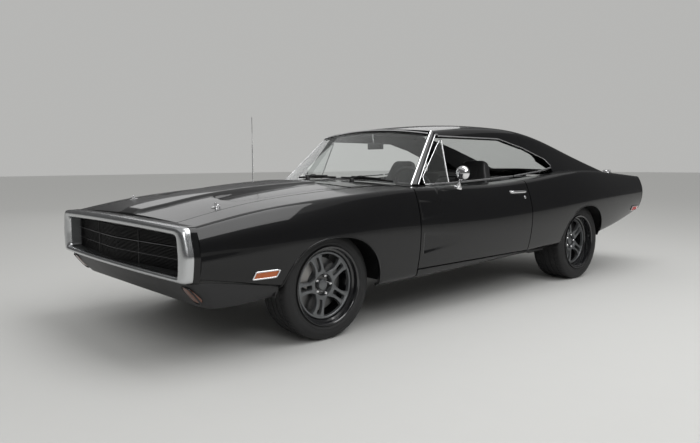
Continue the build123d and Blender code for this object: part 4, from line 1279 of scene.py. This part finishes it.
@dataclass
class Seats:
    """Bucket seats and rear bench as crowned pads with sewn channels.

    A pad is a rounded box: each side pulls in towards its corners, the top crowns, and a
    row of cosines sinks the sewn channels.
    """

    bucket_x: float = 419.0
    bench_x: float = 268.0

    def pad(self, name: str, size: tuple, centre: tuple, lean: float, channels: int, nodes: tuple = (),
            bolster: float = 0.0, taper: float = 0.0) -> None:
        """One pad.

        Args:
            name: piece name.
            size: width, length and thickness.
            centre: middle of the pad.
            lean: degrees the pad leans back from lying flat.
            channels: sewn channels across its width.
            nodes: solids it stands for.
            bolster: height of the raised sides.
            taper: share of the width lost towards the far end.
        """
        width, length, thick = size
        u, v = full_turn(96)[:, None], np.linspace(-math.pi / 2, math.pi / 2, 49)[None]
        ring = signed_power(np.cos(v), 0.32)
        x = width / 2 * ring * signed_power(np.cos(u), 0.3)
        y = length / 2 * ring * signed_power(np.sin(u), 0.3)
        z = thick / 2 * signed_power(np.sin(v), 0.5) * np.ones_like(u)
        inside = [np.clip(1 - (np.abs(c) / reach) ** 6, 0, 1) for c, reach in ((x, width * 0.36), (y, length * 0.42))]
        crown = 10 * (1 - (2 * x / width) ** 2) * (1 - (2 * y / length) ** 2)
        groove = 7 * np.abs(np.cos(math.pi * channels * x / (width * 0.72))) ** 12 * inside[0] * inside[1]
        z = np.where(z > 0, z + crown - groove + bolster * (2 * np.abs(x) / width) ** 3, z)
        x = x * (1 - taper * smoothstep(-0.1 * length, 0.5 * length, y))
        a = math.radians(lean)
        points = points_of(x, y * math.cos(a) - z * math.sin(a), y * math.sin(a) + z * math.cos(a)) + vec(*centre)
        piece = Piece.grid(name, points, VINYL, (True, False), nodes=nodes, sharp=60)

    def build(self) -> None:
        """Two buckets with frames, and the bench."""
        for side in Side:
            x, word = side.value * self.bucket_x, side.word
            nodes = ("front_seats",) if side is Side.LEFT else ()
            self.pad(f"seat_cushion_{word}", (446, 520, 118), (x, 16, 470), -4, 6, nodes, 14)
            self.pad(f"seat_back_{word}", (440, 600, 92), (x, 302, 790), 74, 6, (), 16, 0.42)
            base = points_of(x, np.linspace(-160, 200, 24), 362)
            Piece.sweep(f"seat_base_{word}", base, (350, 92, 12), GRAINED)
        for side in Side:
            x, word = side.value * self.bench_x, side.word
            nodes = ("rear_seat",) if side is Side.LEFT else ()
            self.pad(f"bench_cushion_{word}", (520, 350, 150), (x, 640, 470), -6, 5, nodes)
            self.pad(f"bench_back_{word}", (520, 420, 110), (x, 920, 715), 66, 5)


@dataclass
class Valance:
    """Panel under the nose: wraps from wheel arch to wheel arch between an upper and a tucked-in lower edge."""

    # half of each edge, from the left arch forwards to the middle
    upper: tuple = ((888, -2042, 384), (896, -2200, 412), (899, -2380, 442), (897, -2500, 458), (890, -2558, 460),
                    (862, -2583, 461), (800, -2589, 461), (500, -2591, 461), (0, -2592, 461))
    lower: tuple = ((862, -2042, 324), (862, -2200, 313), (860, -2330, 307), (856, -2400, 308), (846, -2444, 310),
                    (815, -2464, 311), (760, -2470, 311), (480, -2471, 311), (0, -2472, 311))
    bulge: float = 9.0
    depth: float = 5.0

    def build(self) -> None:
        """The panel as one shell, bulged a little between its edges."""
        halves = [through(edge, 90) for edge in (self.upper, self.lower)]
        top, foot = [np.concatenate([half, flip(half[-2::-1], Side.RIGHT)]) for half in halves]
        t = np.linspace(0, 1, 16)[:, None]
        outer = blend(top[:, None], foot[:, None], t)
        normal = normals_of(outer)
        normal *= np.sign((normal * vec(1, 1, 0) * (outer - vec(0, -2200, 0))).sum())
        outer = outer + normal * self.bulge * np.sin(math.pi * t)
        Piece.shell("valance_skin", outer, outer - normal * self.depth, SATIN_BLACK, edge=1.5,
                    nodes=("front_valance",))


@dataclass
class ArchLiner:
    """Dark strip that closes a wheel house over the tyre, from one foot of the arch to the other."""

    name: str
    arch: tuple
    inner_x: float
    rise: float
    front_z: float
    rear_z: float
    side_z: float = 440.0
    depth: float = 4.0

    def build(self) -> None:
        """Both sides' strips: the arch's curve a little larger, carried inwards from the body's skin."""
        centre, foot, half, _, power = self.arch
        turn = np.linspace(0, math.pi, 90)
        y = centre - (half + 14) * signed_power(np.cos(turn), 2 / power)
        z = foot + self.rise * signed_power(np.sin(turn), 2 / power)
        ends = np.where(y < centre, self.front_z, self.rear_z)
        z = np.where((np.abs(y - centre) > half * 0.97) & (z < foot + 60), ends, z)
        outside = BODY.on_side(y, np.maximum(z, self.side_z))[:, 0] - np.where(z < self.side_z, 45, 20)
        x = self.inner_x + (outside - self.inner_x)[:, None] * np.linspace(0, 1, 12)
        under = points_of(x, y[:, None], z[:, None])
        away = points_of(0, y - centre, z - foot)
        away /= np.maximum(np.linalg.norm(away, axis=1, keepdims=True), 1)
        for side in Side:
            Piece.shell(self.name, under + self.depth * away[:, None], under, GRILLE_BLACK, side, edge=0)


@dataclass
class Lamps:
    """Turn lamps under the nose, side markers and tail lamps, with their bezels."""

    turn_place: tuple = (812.0, -2533.0, 393.0)
    turn_size: tuple = (44.0, 64.0)
    # corners of the side markers, from the low front one: y, z
    front_marker: tuple = ((-2234, 447), (-2088, 447), (-2068, 487), (-2220, 487))
    rear_marker: tuple = ((2352, 568), (2520, 568), (2540, 612), (2362, 612))
    marker_ribs: int = 12
    # tail lamp's bezel: inner x, outer x, low z, high z
    tail: tuple = (90.0, 745.0, 792.0, 878.0)

    def turn_lamp(self, side: Side) -> None:
        """Domed lens with round corners on the valance's slope."""
        fall, out = vec(0, 0.631, -0.776), vec(0, -0.776, -0.631)
        centre, angle, power = flip(self.turn_place, side), full_turn(72), 2 / 3.2
        flat = (self.turn_size[0] * points_of(signed_power(np.cos(angle), power), 0, 0)
                + self.turn_size[1] * signed_power(np.sin(angle), power)[:, None] * fall)
        dome = np.linspace(0.99, 0.02, 14)
        share = np.concatenate([[0.02, 1, 1], dome])
        height = np.concatenate([[-22, -22, 4], 4 + 9 * (1 - dome**3)])
        points = centre + share[:, None] * flat[:, None] + height[:, None] * out
        # darker amber than the side markers: painted shade under the nose
        Piece.grid(f"turn_lens_{side.word}", points, AMBER_LENS_SHADE, nodes=("lamps_amber",), sharp=50)
        Piece.sweep(f"turn_bezel_{side.word}", centre + 1.04 * flat + 6 * out, (7, 9, 3), SATIN_BLACK, out, True)

    def marker(self, name: str, side: Side, corners: tuple, finish: Finish, nodes: tuple) -> None:
        """Ribbed lens and bezel on the body's side, over four corners."""
        a, b, c, d = [vec(*corner) for corner in corners]
        u, v = np.meshgrid(np.linspace(0, 1, 60), np.linspace(0, 1, 12), indexing="ij")
        flat = blend(blend(a, b, u[..., None]), blend(d, c, u[..., None]), v[..., None])
        outer = BODY.on_side(flat[..., 0], flat[..., 1])
        rise = 5 + 1.2 * np.cos(2 * math.pi * self.marker_ribs * u)
        Piece.shell(f"{name}_lens", outer + points_of(rise, 0, 0), outer - vec(14, 0, 0), finish, side, 1, nodes=nodes)
        path = polygon(corners, 14)
        path = sum(np.roll(path, k, 0) for k in (-1, 0, 1)) / 3
        path = BODY.on_side(path[:, 0], path[:, 1]) + vec(4, 0, 0)
        Piece.sweep(f"{name}_bezel", path, (9, 11, 3.5), CHROME, (1, 0, 0), True, side=side)

    def tail_lamp(self, side: Side) -> None:
        """Long ribbed lens on the tail panel's slope, with a bright bezel and a dark bar across its middle."""
        left, right, low, high = self.tail

        def face(x: Array, z: Array, out: float | Array) -> Array:
            """Points of the slope at places across and heights."""
            return points_of(side.value * x, 2601 + (high - z) * 18 / 86 + out, z)

        x, z = np.meshgrid(np.linspace(left + 3, right - 3, 40), np.linspace(low + 3, high - 3, 61), indexing="ij")
        ribs = 1.2 * np.cos(2 * math.pi * (z - low - 3) / 8)
        Piece.shell(f"tail_lens_{side.word}", face(x, z, ribs), face(x, z, -9), RED, nodes=("lamps_red",), edge=0)
        x, z = polygon([(left, low), (right, low), (right, high), (left, high)], 40).T
        Piece.sweep(f"tail_bezel_{side.word}", face(x, z, 1), (8, 8, 3), CHROME, (0, 1, 0), True)
        bar = face(np.linspace(left + 2, right - 2, 30), (low + high) / 2, 3)
        Piece.sweep(f"tail_bar_{side.word}", bar, (9, 6, 2), SATIN_BLACK, (0, 1, 0))

    def build(self) -> None:
        """All lamps of both sides."""
        for side in Side:
            self.turn_lamp(side)
            self.tail_lamp(side)
            self.marker("front_marker", side, self.front_marker, AMBER, ("lamps_amber",))
            self.marker("rear_marker", side, self.rear_marker, RED, ("lamps_red",))


@dataclass
class RearBar:
    """Chrome rear bumper: one rounded section across the car, ends swept forwards, with a recess for the plate."""

    half: float = 846.0
    front_y: float = 2589.0
    middle_z: float = 675.0
    # the section: y, z
    section: tuple = ((2589, 759), (2630, 759), (2639, 757), (2645, 750), (2647, 740), (2644, 722), (2634, 675),
                      (2622, 625), (2616, 603), (2611, 595), (2603, 591), (2589, 591))
    recess: float = 40.0
    recess_half: float = 160.0
    recess_top_z: float = 742.0

    def build(self) -> None:
        """The bar as one ring of sections."""
        edge = self.recess_half + 12
        right = np.concatenate([np.linspace(self.recess_half, edge, 8), np.linspace(edge + 4, 760, 40),
                                self.half - 6 * np.arange(13, -1, -1)])
        x = np.concatenate([-right[::-1], np.linspace(-150, 150, 30), right])[:, None]
        y, z = through(self.section, 44).T
        out = np.abs(x)
        sweep = 40 * smoothstep(700, self.half, out) ** 2
        sunk = 2644 - self.recess * (1 - smoothstep(self.recess_half, edge, out))
        y = y - sweep * (y - self.front_y) / 58
        y = np.maximum(np.where(z < self.recess_top_z, np.minimum(y, sunk), y), self.front_y)
        end = 1 - 0.06 * smoothstep(self.half - 40, self.half, out)
        points = capped(points_of(x, y, self.middle_z + (z - self.middle_z) * end))
        Piece.grid("rear_bar", points, CHROME, (False, True), nodes=("rear_bumper",), sharp=40)


SOLID_FINISHES = {
    "floor_pan": SATIN_BLACK, "cowl_panel": PAINT, "wheelhouses": SATIN_BLACK, "engine_block": CASTING,
    "driveshaft": STEEL, "front_crossmember": CASTING, "knuckle_left": STEEL, "knuckle_right": STEEL,
    "rear_axle": CASTING, "exhaust": STEEL, "fuel_tank": STEEL, "tail_panel": SATIN_BLACK,
    "vent_window_left": GLASS, "vent_window_right": GLASS,
    "dashboard": GRAINED, "rear_bulkhead": GRAINED,
}


@dataclass
class Studio:
    """Pale floor, soft lights and the photograph's camera."""

    eye: tuple = (3.73686, -4.04659, 1.06801)
    yaw: float = 48.220
    pitch: float = -5.339
    roll: float = -0.296
    focal_px: float = 625.67
    floor_half: float = 60.0
    background: tuple = (0.47, 0.47, 0.46, 1)
    mirrored: tuple = (0.10, 0.10, 0.10, 1)
    # soft lights: name, place, target, size, power
    lights: tuple = (("overhead", (2.9, 0.2, 6.2), (0.4, 0, 0), (3.6, 9.0), 330),
                     ("front_left", (7.5, -5.0, 5.0), (0, -0.6, 0.5), (3.5, 2.6), 130),
                     ("behind_right", (-8.0, 4.5, 4.4), (0, 0, 0.6), (9.0, 2.6), 60))
    sky_energy: float = 0.8
    sky_angle: float = 120.0

    @staticmethod
    def add(name: str, data: bpy.types.ID) -> bpy.types.Object:
        """Puts an object with the given data in the scene."""
        obj = bpy.data.objects.new(name, data)
        bpy.context.scene.collection.objects.link(obj)
        return obj

    def camera(self) -> None:
        """Camera solved from the photograph."""
        data = bpy.data.cameras.new("camera")
        data.sensor_width, data.lens = SENSOR_WIDTH, SENSOR_WIDTH * self.focal_px / PHOTO_WIDTH
        cam = self.add("camera", data)
        yaw, pitch, roll = [math.radians(a) for a in (self.yaw, self.pitch, self.roll)]
        ahead = Vector((-math.sin(yaw) * math.cos(pitch), math.cos(yaw) * math.cos(pitch), math.sin(pitch)))
        right = Vector((math.cos(yaw), math.sin(yaw), 0))
        up = right.cross(ahead)
        right, up = math.cos(roll) * right + math.sin(roll) * up, math.cos(roll) * up - math.sin(roll) * right
        cam.matrix_world = Matrix((right, up, -ahead)).transposed().to_4x4()
        cam.location = self.eye
        bpy.context.scene.camera = cam

    def light(self, name: str, place: tuple, target: tuple, size: tuple, power: float) -> None:
        """One rectangular soft light aimed at a point."""
        data = bpy.data.lights.new(name, "AREA")
        data.shape, data.size, data.size_y, data.energy = "RECTANGLE", size[0], size[1], power
        lamp = self.add(name, data)
        lamp.location = place
        lamp.rotation_euler = (Vector(target) - Vector(place)).to_track_quat("-Z", "Y").to_euler()

    def world(self) -> None:
        """Pale background for the camera and for light that scatters, darker where the gloss mirrors it."""
        world = bpy.data.worlds.new("studio")
        world.use_nodes = True
        tree = world.node_tree
        rays, mix = tree.nodes.new("ShaderNodeLightPath").outputs, tree.nodes.new("ShaderNodeMix")
        mix.data_type = "RGBA"
        fill(mix, {"A": self.background, "B": self.mirrored})
        mirror = maths(tree, "SUBTRACT", rays["Is Glossy Ray"], rays["Is Transmission Ray"])
        mirror.node.use_clamp = True
        tree.links.new(mirror, mix.inputs["Factor"])
        tree.links.new(mix.outputs["Result"], tree.nodes["Background"].inputs["Color"])
        bpy.context.scene.world = world

    def build(self) -> None:
        """Floor, world, lights and camera."""
        mesh, size = bpy.data.meshes.new("floor"), self.floor_half
        mesh.from_pydata([(-size, -size, 0), (size, -size, 0), (size, size, 0), (-size, size, 0)], [], [(0, 1, 2, 3)])
        floor = self.add("floor", mesh)
        mesh.materials.append(FLOOR.material())
        self.world()
        for row in self.lights:
            self.light(*row)
        sun = bpy.data.lights.new("sky", "SUN")
        sun.energy, sun.angle = self.sky_energy, math.radians(self.sky_angle)
        self.add("sky", sun)
        self.camera()
        bpy.context.scene.view_settings.view_transform = "Standard"


def main() -> None:
    """Builds every piece, then the studio."""
    logging.basicConfig(level=logging.INFO, format="%(name)s %(message)s")
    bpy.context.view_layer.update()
    loop = LoopBumper()
    FrontEnd().build()
    for side in Side:
        Door(side).build()
        RoadWheel("front", side, FRONT_AXLE_Y, track=1516.0, radius=330.0, width=250.0, dish=45.0,
                  disc_face=-10.0).build()
        RoadWheel("rear", side, REAR_AXLE_Y, track=1504.0, radius=340.0, width=285.0, dish=75.0,
                  disc_face=-40.0).build()
    RearEnd().build()
    Greenhouse().build()
    loop.build()
    Grille(loop).build()
    for side in Side:
        SideTrim(side).build()
        DoorFittings(side).build()
    Wipers().build()
    SmallParts().build()
    Helm().build()
    Seats().build()
    Valance().build()
    Lamps().build()
    ArchLiner("front_liner", FRONT_ARCH, inner_x=585.0, rise=432.0, front_z=345.0, rear_z=335.0).build()
    ArchLiner("rear_liner", REAR_ARCH, inner_x=585.0, rise=408.0, front_z=345.0, rear_z=450.0).build()
    RearBar().build()
    for node, finish in SOLID_FINISHES.items():
        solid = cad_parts[node]
        solid.data.materials.clear()
        solid.data.materials.append(finish.material())
    Studio().build()


if __name__ == "__main__":
    main()
